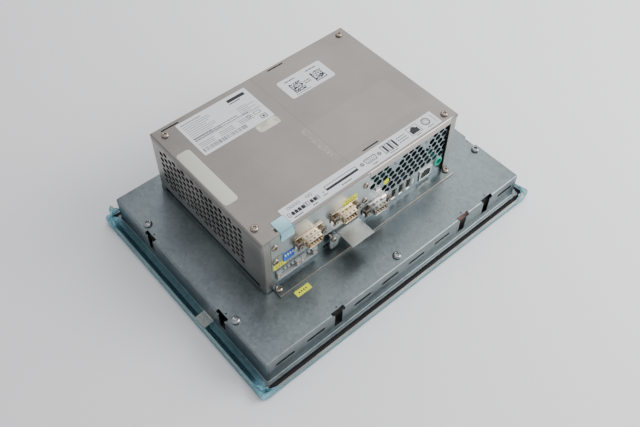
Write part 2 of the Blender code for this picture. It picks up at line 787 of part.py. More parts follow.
def make_usb_port(number, x):
    rim = panel_front - 0.2 * mm
    tongue = [(a + 1 * mm, b) for a, b in box_outline((1.8 * mm, 11 * mm))]
    sections = [(box_outline(usb_size), rim + 14 * mm), (box_outline(usb_size), rim)]
    sections += [(box_outline(usb_mouth), rim), (box_outline(usb_mouth), rim + 9 * mm)]
    sections += [(tongue, rim + 9 * mm), (tongue, rim + 1 * mm)]
    socket_object(f"usb_port_{number}", (x, usb_z), sections, "nickel_shell")


def make_ethernet_jack():
    rim = panel_front - 1.1 * mm
    sections = [(box_outline(ethernet_size), rim + 18 * mm), (box_outline(ethernet_size), rim)]
    sections += [(box_outline(ethernet_mouth), rim), (box_outline(ethernet_mouth), rim + 12 * mm)]
    socket_object("ethernet_jack", ethernet_place, sections, "nickel_shell")


def make_round_socket():
    rim = panel_front - 1.4 * mm
    outer = circle_points(round_radius, 16)
    face = circle_points(round_radius - 0.8 * mm, 16)
    mouth = circle_points(round_radius - 1.8 * mm, 16)
    sections = [(outer, rim + 13 * mm), (outer, rim + 0.5 * mm), (face, rim), (mouth, rim), (mouth, rim + 3.4 * mm)]
    socket_object("round_socket", round_place, sections, "socket_green")


def make_light_pipe():
    bm = bmesh.new()
    x, z = box_place(light_place)
    half = (light_size[0] / 2, light_size[1] / 2)
    front = panel_front + 0.4 * mm
    add_box(bm, (x - half[0], front, z - half[1]), (x + half[0], front + 9 * mm, z + half[1]))
    add_object("status_light_pipe", bm, "light_pipe")


def make_header(name, left, width):
    """A pin header's shroud between threaded ends, open towards the front."""
    centre = (box_left + left + width / 2, tray_top + header_z)
    front = panel_front - header_reach
    outer = box_outline((width, header_height))
    cavity = box_outline((width - 2 * header_end, header_cavity_height))
    sections = [(outer, front + header_length), (outer, front)]
    sections += [(cavity, front), (cavity, front + header_cavity_depth)]
    bm = bmesh.new()
    add_loft(bm, [upright_ring(outline, y, centre) for outline, y in sections])
    add_object(name, bm, "header_grey")


def make_dip_switch():
    centre = box_place(dip_place)
    front = box_front - 0.6 * mm
    back = box_front + option_depth
    half = (dip_size[0] / 2, dip_size[1] / 2)
    bm = bmesh.new()
    add_box(bm, (centre[0] - half[0], front, centre[1] - half[1]), (centre[0] + half[0], back, centre[1] + half[1]))
    body = add_object("dip_switch_body", bm, "switch_blue")
    slot_top = centre[1] + half[1] - 1.2 * mm
    slot_low = slot_top - dip_slot[1]
    cuts = bmesh.new()
    for i in range(dip_count):
        x = centre[0] + (i - (dip_count - 1) / 2) * dip_pitch
        low = (x - dip_slot[0] / 2, front - 1 * mm, slot_low)
        add_box(cuts, low, (x + dip_slot[0] / 2, front + dip_slot_depth, slot_top))
        lever = bmesh.new()
        top = slot_top - slide_gap
        side = dip_slot[0] / 2 - slide_gap
        bottom = top - dip_lever_height
        add_box(lever, (x - side, front - 0.9 * mm, bottom), (x + side, front + dip_slot_depth - slide_gap, top))
        origin = (x, front, (top + bottom) / 2)
        add_object(f"dip_lever_{i + 1}", lever, "switch_white", origin)
    combine(body, "DIFFERENCE", cuts)


def make_reset_button():
    """A plunger behind a small hole, pressed with a pin against its spring."""
    x, z = box_place(reset_place)
    front = box_front + 0.5 * mm
    collar = box_front + option_sheet + gap
    thin = circle_points(reset_hole_radius - slide_gap, 12)
    wide = circle_points(reset_collar / 2, 12)
    rings = [(thin, front), (thin, collar), (wide, collar), (wide, collar + 1 * mm)]
    rings += [(thin, collar + 1 * mm), (thin, box_front + option_depth - reset_travel - gap / 2)]
    bm = bmesh.new()
    add_loft(bm, [upright_ring(outline, y, (x, z)) for outline, y in rings])
    add_object("reset_button", bm, "socket_black", (x, front, z))


def bracket_screw_places():
    places = (bracket_left + guard_screw_inset, bracket_right - guard_screw_inset)
    return [box_place((x, bracket_top - 4.5 * mm)) for x in places]


def make_bracket():
    """A card guard: a face with two rounded legs round an arch, and a shelf folded forward from its top."""
    left = box_left + bracket_left
    right = box_left + bracket_right
    low = tray_top + bracket_bottom
    high = tray_top + bracket_top
    arch_left = box_left + bracket_shelf_left + 1.6 * mm
    arch_right = arch_left + arch_width
    arch_high = tray_top + arch_top
    face_front = panel_front - bracket_stand_off

    def half_round(start, end, level, way):
        """Points of a half circle from one X to another, below the level where way is -1 and above where it is 1."""
        radius = (end - start) / 2
        turns = [math.pi * step / 6 for step in range(7)]
        return [(start + radius - radius * math.cos(a), level + way * radius * math.sin(a)) for a in turns]

    outline = half_round(left, arch_left, low + (arch_left - left) / 2, -1)
    outline += half_round(arch_left, arch_right, arch_high - arch_width / 2, 1)
    outline += half_round(arch_right, right, low + (right - arch_right) / 2, -1)
    outline += [(right, high), (left, high)]
    bm = bmesh.new()
    rings = [[(x, y, z) for x, z in outline] for y in (face_front, face_front + bracket_sheet)]
    add_loft(bm, rings)
    bracket = add_object("card_guard", bm, "bright_sheet")
    shelf = bmesh.new()
    shelf_left = box_left + bracket_shelf_left
    shelf_low = (shelf_left, panel_front - bracket_reach, high - bracket_sheet)
    add_box(shelf, shelf_low, (right, panel_front - gap, high + 0.01 * mm))
    combine(bracket, "UNION", shelf)
    cuts = bmesh.new()
    for place in bracket_screw_places():
        outline = circle_points(guard_screw_radius + gap, 8)
        ends = (face_front - 1 * mm, face_front + bracket_sheet + 1 * mm)
        add_loft(cuts, [upright_ring(outline, y, place) for y in ends])
    combine(bracket, "DIFFERENCE", cuts)


def add_strip(bm, path, thickness, left, right):
    """A bent strip: a path of Y and Z points given a thickness and run from left to right."""
    points = [Vector(point) for point in path]
    near = []
    far = []
    for i, point in enumerate(points):
        before = points[max(i - 1, 0)]
        after = points[min(i + 1, len(points) - 1)]
        along = (after - before).normalized()
        side = Vector((-along.y, along.x)) * thickness / 2
        near.append(point + side)
        far.append(point - side)
    profile = near + far[::-1]
    add_loft(bm, [[(x, y, z) for y, z in profile] for x in (left, right)])


def make_lug():
    """A bent earthing lug that stands out of the socket panel."""
    x, z = box_place(lug_place)
    thick = 0.8 * mm
    face = panel_front - gap - thick / 2
    front = panel_front - lug_reach
    path = [(face, z + 3.5 * mm), (face, z + 1 * mm), (face - 1 * mm, z), (front + 2.4 * mm, z - 0.6 * mm)]
    path += [(front + 0.8 * mm, z - 1.6 * mm), (front + 0.2 * mm, z - 3.2 * mm)]
    bm = bmesh.new()
    add_strip(bm, path, thick, x - lug_width / 2, x + lug_width / 2)
    add_object("earth_lug", bm, "nickel_shell")


def make_card():
    """The memory card in its slot, and the socket that holds its far end."""
    z = tray_top + card_z
    front = panel_front + 0.4 * mm
    half = card_width / 2
    thick = card_thickness / 2
    bm = bmesh.new()
    add_box(bm, (card_middle - half, front, z - thick), (card_middle + half, front + card_length, z + thick))
    add_object("memory_card", bm, "socket_black")
    start = front + card_length - card_grip
    end = front + card_length + 6 * mm
    body = bmesh.new()
    outer = (card_width + 3.4 * mm, card_thickness + 2 * gap + 0.8 * mm)
    inner = (card_width + 2 * gap, card_thickness + 2 * gap)
    sections = [(box_outline(outer), end), (box_outline(outer), start), (box_outline(inner), start)]
    sections.append((box_outline(inner), front + card_length + gap))
    add_loft(body, [upright_ring(outline, y, (card_middle, z)) for outline, y in sections])
    add_object("card_socket", body, "socket_black")


def make_boards():
    front = panel_back + 1.5 * mm
    left = box_left + board_left
    right = box_right - rail_inset - box_sheet - 3 * mm
    bm = bmesh.new()
    add_box(bm, (left, front, board_bottom), (right, box_back - 8 * mm, board_top))
    add_object("mainboard", bm, "board_green")
    power = bmesh.new()
    z = tray_top + power_board_z
    power_left = box_left + rail_inset + box_sheet + 2 * mm
    add_box(power, (power_left, front, z - board_thickness), (left - 2 * mm, front + power_board_depth, z))
    add_object("power_board", power, "board_green")
    option = bmesh.new()
    back_y = box_front + option_depth + gap
    low = (box_left + option_left + 3 * mm, back_y, tray_top + option_bottom + 4 * mm)
    high = (box_left + option_right - 3 * mm, back_y + board_thickness, inner_top - 2 * mm)
    add_box(option, low, high)
    add_object("option_board", option, "board_green")


def make_heat_sink():
    """A finned block on the mainboard, with its fins along X towards the fan."""
    left = box_right - box_sheet - fan_thickness - 8 * mm - sink_size
    front = box_shift_y + fan_shift_y - sink_size / 2
    bottom = board_top + gap
    root = bottom + 5 * mm
    top = bottom + sink_height
    pitch = sink_size / (fin_count - 0.5)
    profile = [(front + sink_size, bottom), (front, bottom)]
    for i in range(fin_count):
        start = front + i * pitch
        if i:
            profile.append((start, root))
        profile += [(start, top), (start + pitch / 2, top)]
        if i < fin_count - 1:
            profile.append((start + pitch / 2, root))
    bm = bmesh.new()
    add_loft(bm, [[(x, y, z) for y, z in profile] for x in (left, left + sink_size)])
    add_object("heat_sink", bm, "sink_aluminium")


def fan_centre():
    x = box_right - box_sheet - 1 * mm - fan_thickness / 2
    return (x, box_shift_y + fan_shift_y, fan_bottom + fan_size / 2)


def make_fan():
    """A square fan frame against the right wall and its rotor, which spins about X."""
    x, y, z = fan_centre()
    half = fan_size / 2
    bore = half - 2 * mm
    ends = (x - fan_thickness / 2, x + fan_thickness / 2)
    plate = (ends[1] - 2 * mm, ends[1] - 0.2 * mm)

    def across(outline, at):
        return [(at, y + a, z + b) for a, b in outline]

    ring = circle_points(bore, 24)
    square = [(a * half / max(abs(a), abs(b)), b * half / max(abs(a), abs(b))) for a, b in ring]
    bm = bmesh.new()
    sections = [across(square, ends[0]), across(square, ends[1]), across(ring, ends[1]), across(ring, ends[0])]
    add_closed_loft(bm, sections)
    frame = add_object("fan_frame", bm, "socket_black")
    spider = bmesh.new()
    add_loft(spider, [across(circle_points(fan_hub_radius, 16), at) for at in plate])
    low = (plate[0] + 0.2 * mm, y - bore - 1 * mm, z - 1.5 * mm)
    add_box(spider, low, (plate[1] - 0.1 * mm, y + bore + 1 * mm, z + 1.5 * mm))
    combine(frame, "UNION", spider)

    rotor_ends = (ends[0] + 1 * mm, plate[0] - 1 * mm)
    hub = bmesh.new()
    add_loft(hub, [across(circle_points(fan_hub_radius, 16), at) for at in rotor_ends])
    rotor = add_object("fan_rotor", hub, "socket_black", (x, y, z))
    root = fan_hub_radius - 1.5 * mm
    reach = bore - 1.5 * mm - root
    blades = bmesh.new()
    for i in range(fan_blades):
        turn = Matrix.Rotation(2 * math.pi * i / fan_blades, 4, "X")
        pitch = Matrix.Rotation(math.radians(48), 4, "Y")
        middle = Matrix.Translation(((rotor_ends[0] + rotor_ends[1]) / 2, y, z))
        out = Matrix.Translation((0, root + reach / 2, 0))
        shape = Matrix.Diagonal((1.2 * mm, reach, fan_blade_chord, 1))
        matrix = middle @ turn @ out @ pitch @ shape
        bmesh.ops.create_cube(blades, size=1, matrix=matrix)
    combine(rotor, "UNION", blades)


def make_cell():
    bm = bmesh.new()
    centre = (box_left + board_left + 22 * mm, box_back - 30 * mm)
    add_post(bm, centre, 10 * mm, board_top + gap, board_top + gap + 3.2 * mm, 20)
    add_object("coin_cell", bm, "cell_steel")


def wire(name, route, radius, material_name, steps=8):
    """A round lead on a smooth curve through its route's points."""
    points = [Vector(point) for point in route]
    ends = [points[0] * 2 - points[1]] + points + [points[-1] * 2 - points[-2]]
    path = []
    for a, b, c, d in zip(ends, ends[1:], ends[2:], ends[3:]):
        for step in range(steps):
            t = step / steps
            curve = 2 * b + (c - a) * t
            curve += (2 * a - 5 * b + 4 * c - d) * t**2 + (3 * b - a - 3 * c + d) * t**3
            path.append(curve / 2)
    path.append(points[-1])
    curve = bpy.data.curves.new(name, "CURVE")
    curve.dimensions = "3D"
    curve.bevel_depth = radius
    curve.bevel_resolution = 1
    curve.use_fill_caps = True
    spline = curve.splines.new("POLY")
    spline.points.add(len(path) - 1)
    for point, place in zip(spline.points, path):
        point.co = (*place, 1)
    curve.materials.append(material(material_name))
    obj = bpy.data.objects.new(name, curve)
    bpy.context.scene.collection.objects.link(obj)


def make_leads():
    """The supply lead between the boards, and the display's ribbon up through the cable hole."""
    low = tray_top + power_board_z + 0.6 * mm
    x = box_left + 34 * mm
    y = panel_back + power_board_depth - 12 * mm
    end = (x + 52 * mm, y + 44 * mm)
    route = [
        (x, y, low),
        (x, y, low + 8 * mm),
        (x - 12 * mm, y + 10 * mm, low + 26 * mm),
        (x - 10 * mm, y + 32 * mm, low + 24 * mm),
        (x + 20 * mm, y + 42 * mm, low + 16 * mm),
        (*end, board_top + 8 * mm),
        (*end, board_top + 0.6 * mm),
    ]
    wire("power_lead", route, 1.6 * mm, "wire_red")
    level = bezel_top + gap + display_thickness + gap + 0.3 * mm
    y = cable_hole_y
    path = [(y - 30 * mm, level), (y - 14 * mm, level), (y - 5 * mm, level + 2 * mm), (y, level + 8 * mm)]
    path += [(y, base_bottom), (y, board_bottom - gap)]
    bm = bmesh.new()
    add_strip(bm, path, 0.6 * mm, -ribbon_width / 2, ribbon_width / 2)
    add_object("display_lead", bm, "wire_grey")


def screw_object(name, at, direction, head, shank):
    """A pan-head screw: head as radius and height, shank as radius and length, pointing along direction."""
    rings = [
        (head[0], 0),
        (head[0], head[1] * 0.45),
        (head[0] * 0.86, head[1] * 0.86),
        (head[0] * 0.6, head[1]),
        (head[0] * 0.42, head[1]),
        (head[0] * 0.42, head[1] * 0.4),
    ]
    profile = [(shank[0], -shank[1]), (shank[0], 0)] + rings
    turn = Vector((0, 0, 1)).rotation_difference(Vector(direction)).to_matrix()
    bm = bmesh.new()
    loops = []
    for radius, height in profile:
        loops.append([Vector(at) + turn @ Vector((x, y, height)) for x, y in circle_points(radius, 10)])
    add_loft(bm, loops)
    add_object(name, bm, "screw_steel")


def make_screws():
    small = ((screw_head_radius, screw_head_height), (screw_radius, screw_length))
    big = ((big_head_radius, big_head_height), (big_screw_radius, big_screw_length - gap))
    up = (0, 0, 1)
    for i, (x, y) in enumerate(tray_screws):
        screw_object(f"tray_screw_{i + 1}", (x, y, tray_top + gap), up, *big)
    for i, (x, y) in enumerate(ledge_screws):
        screw_object(f"ledge_screw_{i + 1}", (x, y, base_top + gap), up, *small)
    for i, (x, y) in enumerate(cover_screws):
        screw_object(f"cover_screw_{i + 1}", (x, y, box_top + gap), up, *small)
    front = panel_front - bracket_stand_off - gap
    for i, (x, z) in enumerate(bracket_screw_places()):
        length = bracket_stand_off + box_sheet + 2 * mm
        shape = ((2.7 * mm, 1.7 * mm), (guard_screw_radius, length))
        screw_object(f"guard_screw_{i + 1}", (x, front, z), (0, -1, 0), *shape)


def main():
    clear_scene()
    make_film()
    make_bezel()
    make_glass()
    make_display()
    make_gasket()
    make_tray()
    make_base_plate()
    make_side_panel("left_side_panel", -1)
    make_side_panel("right_side_panel", 1)
    make_back_panel()
    make_cover()
    make_io_panel()
    make_option_plate()
    for number, place in enumerate(serial_places[:2]):
        make_serial_port(number + 1, place, box_front, box_front + option_depth, "gold_shell")
    make_serial_port(3, serial_places[2], panel_front, panel_back + 10 * mm, "nickel_shell")
    for number, x in enumerate(usb_places):
        make_usb_port(number + 1, x)
    make_ethernet_jack()
    make_round_socket()
    make_light_pipe()
    make_header("supply_header", supply_header_left, supply_header_width)
    make_header("signal_header", supply_header_left + supply_header_width + gap, signal_header_width)
    make_dip_switch()
    make_reset_button()
    make_bracket()
    make_lug()
    make_card()
    make_boards()
    make_heat_sink()
    make_fan()
    make_cell()
    make_leads()
    make_screws()


main()
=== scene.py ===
# A panel-mount touch computer lying on its front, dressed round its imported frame.
import math
import random

import bmesh
import bpy
from mathutils import Matrix, Vector, noise


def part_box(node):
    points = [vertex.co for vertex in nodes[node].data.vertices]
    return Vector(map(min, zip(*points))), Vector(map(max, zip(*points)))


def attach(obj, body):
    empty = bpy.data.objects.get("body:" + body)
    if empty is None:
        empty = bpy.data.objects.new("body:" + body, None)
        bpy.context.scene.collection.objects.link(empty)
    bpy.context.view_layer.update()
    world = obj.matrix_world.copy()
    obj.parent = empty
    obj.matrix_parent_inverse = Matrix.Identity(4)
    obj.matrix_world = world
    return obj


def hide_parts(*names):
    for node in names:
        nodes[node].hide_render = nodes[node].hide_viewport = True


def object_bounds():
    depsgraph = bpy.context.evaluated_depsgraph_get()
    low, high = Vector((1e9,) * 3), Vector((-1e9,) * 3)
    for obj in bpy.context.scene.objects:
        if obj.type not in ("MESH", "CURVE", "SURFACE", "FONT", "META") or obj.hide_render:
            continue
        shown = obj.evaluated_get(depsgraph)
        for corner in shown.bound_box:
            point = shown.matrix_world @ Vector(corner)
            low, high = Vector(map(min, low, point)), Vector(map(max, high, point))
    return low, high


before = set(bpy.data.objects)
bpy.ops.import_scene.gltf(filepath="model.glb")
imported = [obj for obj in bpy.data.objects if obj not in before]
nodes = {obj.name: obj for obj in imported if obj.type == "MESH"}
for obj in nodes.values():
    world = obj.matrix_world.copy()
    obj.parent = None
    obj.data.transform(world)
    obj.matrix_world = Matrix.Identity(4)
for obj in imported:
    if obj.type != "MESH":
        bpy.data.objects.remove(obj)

cadLow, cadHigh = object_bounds()
mm = 0.001
case = "case"
# Without a seed of its own, this noise would differ from run to run.
noise.seed_set(3)


# Small helpers for nodes and meshes.
def addNode(tree, kind, values=None, **settings):
    node = tree.nodes.new(kind)
    for key, value in settings.items():
        setattr(node, key, value)
    for key, value in (values or {}).items():
        node.inputs[key].default_value = value
    return node


def link(tree, fromNode, output, toNode, socket):
    tree.links.new(fromNode.outputs[output], toNode.inputs[socket])


def newObject(name, data):
    obj = bpy.data.objects.new(name, data)
    bpy.context.scene.collection.objects.link(obj)
    return obj


def startMaterial(name, colour, roughness, metallic=0.0):
    material = bpy.data.materials.new(name)
    material.use_nodes = True
    tree = material.node_tree
    shader = tree.nodes["Principled BSDF"]
    shader.inputs["Base Color"].default_value = (*colour, 1)
    shader.inputs["Roughness"].default_value = roughness
    shader.inputs["Metallic"].default_value = metallic
    return material, tree, shader


def noiseOf(tree, scale, detail=3.0, stretch=(1, 1, 1)):
    place = addNode(tree, "ShaderNodeTexCoord")
    mapping = addNode(tree, "ShaderNodeMapping", {"Scale": stretch})
    pattern = addNode(tree, "ShaderNodeTexNoise", {"Scale": scale, "Detail": detail})
    link(tree, place, "Object", mapping, "Vector")
    link(tree, mapping, "Vector", pattern, "Vector")
    return pattern


def mixColours(tree, factorNode, output, first, second):
    mix = addNode(tree, "ShaderNodeMix", data_type="RGBA")
    for socket, value in ((6, first), (7, second)):
        if isinstance(value, tuple):
            mix.inputs[socket].default_value = (*value, 1)
        else:
            tree.links.new(value, mix.inputs[socket])
    tree.links.new(factorNode.outputs[output], mix.inputs[0])
    return mix.outputs[2]


def ranged(tree, source, output, fromLow, fromHigh, toLow, toHigh):
    spread = addNode(tree, "ShaderNodeMapRange")
    for key, value in zip(("From Min", "From Max", "To Min", "To Max"), (fromLow, fromHigh, toLow, toHigh)):
        spread.inputs[key].default_value = value
    link(tree, source, output, spread, "Value")
    return spread


def product(tree, first, second, output=0, clamp=False):
    both = addNode(tree, "ShaderNodeMath", operation="MULTIPLY", use_clamp=clamp)
    link(tree, first, output, both, 0)
    link(tree, second, 0, both, 1)
    return both


def paint(shader, colour):
    shader.id_data.links.new(colour, shader.inputs["Base Color"])


def dimmed(colour, share):
    return tuple(share * c for c in colour)


def addBump(tree, shader, source, output, strength, distance):
    bump = addNode(tree, "ShaderNodeBump", {"Strength": strength, "Distance": distance})
    link(tree, source, output, bump, "Height")
    link(tree, bump, "Normal", shader, "Normal")


# A rectangle's mask in the piece's own metres, 1 inside it and 0 outside.
def areaMask(tree, low, high, soft):
    place = addNode(tree, "ShaderNodeTexCoord")
    split = addNode(tree, "ShaderNodeSeparateXYZ")
    link(tree, place, "Object", split, "Vector")
    sides = [ranged(tree, split, axis, edge - way * soft, edge + way * soft, 0, 1)
             for axis in range(2) for edge, way in ((low[axis], 1), (high[axis], -1))]
    result = sides[0]
    for side in sides[1:]:
        result = product(tree, result, side)
    return result


# Sheet metal: cloudy tone, a brushed or rolled grain, and zinc's crystals where it has them.
def sheetMetal(name, dark, light, rough, cloud=22, grain=(1, 1, 1), grainScale=900, spangle=0.0, bump=0.06):
    material, tree, shader = startMaterial(name, light, rough[0], 1.0)
    clouds = noiseOf(tree, cloud, 5)
    fine = noiseOf(tree, grainScale, 2, grain)
    tone = ranged(tree, clouds, 0, 0.34, 0.66, 0, 1)
    colour = mixColours(tree, tone, 0, dark, light)
    speck = ranged(tree, fine, 0, 0.3, 0.7, 0.0, 0.45)
    colour = mixColours(tree, speck, 0, colour, dimmed(dark, 0.72))
    if spangle:
        place = addNode(tree, "ShaderNodeTexCoord")
        crystals = addNode(tree, "ShaderNodeTexVoronoi", {"Scale": 330, "Randomness": 1.0})
        link(tree, place, "Object", crystals, "Vector")
        grey = ranged(tree, crystals, "Color", 0, 1, 0, spangle)
        colour = mixColours(tree, grey, 0, colour, tuple(min(1, 1.5 * c) for c in light))
    paint(shader, colour)
    uneven = ranged(tree, clouds, 0, 0.3, 0.7, *rough)
    link(tree, uneven, 0, shader, "Roughness")
    addBump(tree, shader, fine, 0, bump, 0.0002)
    return material


def plainMetal(name, colour, rough, wear=0.25):
    material, tree, shader = startMaterial(name, colour, rough, 1.0)
    fine = noiseOf(tree, 260, 3)
    tone = ranged(tree, fine, 0, 0.35, 0.65, 0, wear)
    paint(shader, mixColours(tree, tone, 0, colour, dimmed(colour, 0.6)))
    link(tree, ranged(tree, fine, 0, 0.3, 0.7, rough * 0.8, rough * 1.3), 0, shader, "Roughness")
    addBump(tree, shader, fine, 0, 0.05, 0.0001)
    return material


def plastic(name, colour, rough, grainScale=1800, bump=0.12, shade=0.75, metallic=0.0):
    material, tree, shader = startMaterial(name, colour, rough, metallic)
    fine = noiseOf(tree, grainScale, 2)
    slow = noiseOf(tree, 60, 3)
    tone = ranged(tree, slow, 0, 0.3, 0.7, 0, 0.6)
    paint(shader, mixColours(tree, tone, 0, colour, dimmed(colour, shade)))
    link(tree, ranged(tree, fine, 0, 0.3, 0.7, rough * 0.85, min(1, rough * 1.2)), 0, shader, "Roughness")
    addBump(tree, shader, fine, 0, bump, 0.00015)
    return material


# Clear film or tape: mostly see-through, tinted, with a thin gloss.
def clearFilm(name, tint, alpha, rough=0.12, crumple=60):
    material, tree, shader = startMaterial(name, tint, rough)
    folds = noiseOf(tree, crumple, 4)
    tone = ranged(tree, folds, 0, 0.35, 0.7, 0, 1)
    pale = tuple(min(1, c + 0.25) for c in tint)
    paint(shader, mixColours(tree, tone, 0, tint, pale))
    link(tree, ranged(tree, folds, 0, 0.35, 0.7, alpha * 0.75, min(1, alpha * 1.35)), 0, shader, "Alpha")
    addBump(tree, shader, folds, 0, 0.25, 0.0006)
    return material


# A thin tinted sheet: clear where it lies flat, paler and hazier where it gathers, with painted sheen on
# its folds.
def makeFilmMaterial():
    settings = {"tint": (0.85, 0.93, 0.945), "flat": (0.06, 0.26, 0.36), "gatheredSheen": (0.4, 0.77, 0.88),
                "low": 0.05, "high": 0.62}
    material, tree, shader = startMaterial("blueFilm", settings["flat"], 0.12)
    gather = addNode(tree, "ShaderNodeAttribute", attribute_name="gather")
    folds = noiseOf(tree, 90, 2)
    creased = ranged(tree, folds, 0, 0.4, 0.65, 0.45, 1.2)
    both = product(tree, gather, creased, "Fac", True)
    paint(shader, mixColours(tree, both, 0, settings["flat"], settings["gatheredSheen"]))
    addBump(tree, shader, folds, 0, 0.1, 0.0005)
    clear = addNode(tree, "ShaderNodeBsdfTransparent", {"Color": (*settings["tint"], 1)})
    mixed = addNode(tree, "ShaderNodeMixShader")
    link(tree, ranged(tree, both, 0, 0, 1, settings["low"], settings["high"]), 0, mixed, 0)
    link(tree, clear, 0, mixed, 1)
    link(tree, shader, 0, mixed, 2)
    link(tree, mixed, 0, tree.nodes["Material Output"], "Surface")
    return material


look = {
    "cover": {"dark": (0.255, 0.235, 0.216), "light": (0.35, 0.323, 0.3), "rough": (0.42, 0.52)},
    "tray": {"dark": (0.14, 0.168, 0.178), "light": (0.225, 0.26, 0.268), "rough": (0.3, 0.42)},
    "bright": {"dark": (0.41, 0.43, 0.42), "light": (0.52, 0.54, 0.53), "rough": (0.3, 0.42)},
}


def makeCoverMetal():
    settings = {
        "ghostLow": (-10.8 * mm, -31.3 * mm),
        "ghostHigh": (90 * mm, 15.5 * mm),
        "glueLow": (-11 * mm, -26 * mm),
        "glueHigh": (-4.5 * mm, 14 * mm),
        "creaseX": -3.2 * mm,
        "creaseHalf": 0.3 * mm,
        "lipLeft": 113 * mm,
        "lipRight": 6 * mm,
    }
    material = sheetMetal("coverMetal", **look["cover"], cloud=16, grainScale=1500, bump=0.03)
    tree = material.node_tree
    shader = tree.nodes["Principled BSDF"]
    colour = shader.inputs["Base Color"].links[0].from_socket
    ghost = areaMask(tree, settings["ghostLow"], settings["ghostHigh"], 0.5 * mm)
    faint = ranged(tree, ghost, 0, 0, 1, 0, 0.08)
    colour = mixColours(tree, faint, 0, colour, (0.46, 0.43, 0.4))
    glue = areaMask(tree, settings["glueLow"], settings["glueHigh"], 0.6 * mm)
    blots = noiseOf(tree, 330, 4, (1, 1.6, 1))
    spots = ranged(tree, blots, 0, 0.54, 0.62, 0, 0.5)
    colour = mixColours(tree, product(tree, glue, spots), 0, colour, (0.5, 0.48, 0.46))
    # Painted shade: a dark line across the top, where the shade of a crease falls.
    creaseX, creaseHalf = settings["creaseX"], settings["creaseHalf"]
    creaseShade = areaMask(tree, (creaseX - creaseHalf, -1), (creaseX + creaseHalf, 1), creaseHalf)
    colour = mixColours(tree, ranged(tree, creaseShade, 0, 0, 1, 0, 0.35), 0, colour, (0.13, 0.115, 0.1))
    # Painted highlight: the cover's front lip is drawn lighter along its length, where its bend catches the
    # light.
    lipLow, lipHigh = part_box("top_cover")
    lipHighlight = areaMask(tree, (lipLow.x + settings["lipLeft"], lipLow.y - 1),
                   (lipHigh.x - settings["lipRight"], lipLow.y + 1 * mm), 0.3 * mm)
    colour = mixColours(tree, ranged(tree, lipHighlight, 0, 0, 1, 0, 0.7), 0, colour, (0.62, 0.57, 0.52))
    paint(shader, colour)
    return material


metals = {
    "cover": makeCoverMetal(),
    "wall": sheetMetal("wallMetal", (0.32, 0.308, 0.288), (0.45, 0.434, 0.41), (0.34, 0.46),
                       grain=(1, 1, 0.15)),
    "tray": sheetMetal("trayZinc", **look["tray"], spangle=0.28, bump=0.04),
    "bright": sheetMetal("brightZinc", **look["bright"], cloud=40, bump=0.04),
    "panel": sheetMetal("panelZinc", (0.25, 0.29, 0.31), (0.35, 0.39, 0.41), (0.3, 0.42), cloud=45,
                        spangle=0.2),
    "bezel": sheetMetal("bezelAluminium", (0.42, 0.4, 0.37), (0.6, 0.57, 0.53), (0.3, 0.42), cloud=30),
    "screw": plainMetal("screwNickel", (0.4, 0.34, 0.28), 0.22),
    "steel": plainMetal("screwZinc", (0.34, 0.36, 0.37), 0.22),
    "gold": plainMetal("goldShell", (0.72, 0.6, 0.44), 0.26, 0.04),
    "nickel": plainMetal("nickelShell", (0.58, 0.56, 0.52), 0.27, 0.05),
    "brass": plainMetal("brassInsert", (0.72, 0.45, 0.2), 0.35),
    # Painted highlight for the base plate's front edge.
    "edge": plainMetal("shearedEdge", (0.5, 0.42, 0.35), 0.35),
    "sink": plainMetal("sinkAluminium", (0.55, 0.56, 0.57), 0.38),
    # Painted shade: a darkened nickel for the serial ports' dimples and ears.
    "dark": plainMetal("darkNickel", (0.2, 0.18, 0.16), 0.4),
}
plastics = {
    "black": plastic("blackPlastic", (0.018, 0.018, 0.019), 0.45),
    "rubber": plastic("gasketRubber", (0.008, 0.008, 0.01), 0.6, 900, 0.1),
    "blue": plastic("switchBlue", (0.02, 0.12, 0.5), 0.4),
    "white": plastic("leverWhite", (0.82, 0.82, 0.78), 0.45),
    "header": plastic("headerGrey", (0.33, 0.35, 0.35), 0.45),
    "green": plastic("socketGreen", (0.02, 0.42, 0.3), 0.4),
    "light": plastic("lightPipe", (0.75, 0.8, 0.78), 0.25),
    "board": plastic("boardGreen", (0.02, 0.13, 0.07), 0.4, 500, 0.3),
    "glass": plastic("screenGlass", (0.012, 0.013, 0.016), 0.08, 200, 0.0),
    "display": plastic("displayFrame", (0.3, 0.31, 0.32), 0.4, 900, 0.05, metallic=1.0),
    "red": plastic("leadRed", (0.45, 0.02, 0.015), 0.4),
    "grey": plastic("ribbonGrey", (0.36, 0.37, 0.39), 0.5, 1200, 0.2),
    "paper": plastic("labelWhite", (0.64, 0.65, 0.67), 0.42, 1500, 0.05, 0.96),
    "ink": plastic("labelInk", (0.03, 0.03, 0.035), 0.5),
    "inkGrey": plastic("labelInkGrey", (0.07, 0.07, 0.08), 0.5),
    "beige": plastic("beigeLabel", (0.5, 0.51, 0.44), 0.5, 1500, 0.1, 0.95),
    "yellow": plastic("yellowSticker", (0.72, 0.75, 0.03), 0.5, 1200, 0.08, 0.92),
    "rust": plastic("copperFoil", (0.17, 0.04, 0.02), 0.6, 600, 0.3),
}
for dull in ("rubber", "ink", "inkGrey", "yellow", "black"):
    plastics[dull].node_tree.nodes["Principled BSDF"].inputs["Specular IOR Level"].default_value = 0.2
films = {
    "film": makeFilmMaterial(),
    "tape": clearFilm("blueTape", (0.24, 0.52, 0.6), 0.72, 0.2, 25),
    "clear": clearFilm("clearTape", (0.66, 0.68, 0.62), 0.2, 0.08, 20),
    "ghost": clearFilm("stickerRest", (0.7, 0.69, 0.55), 0.5, 0.35, 150),
}
print("materials made")


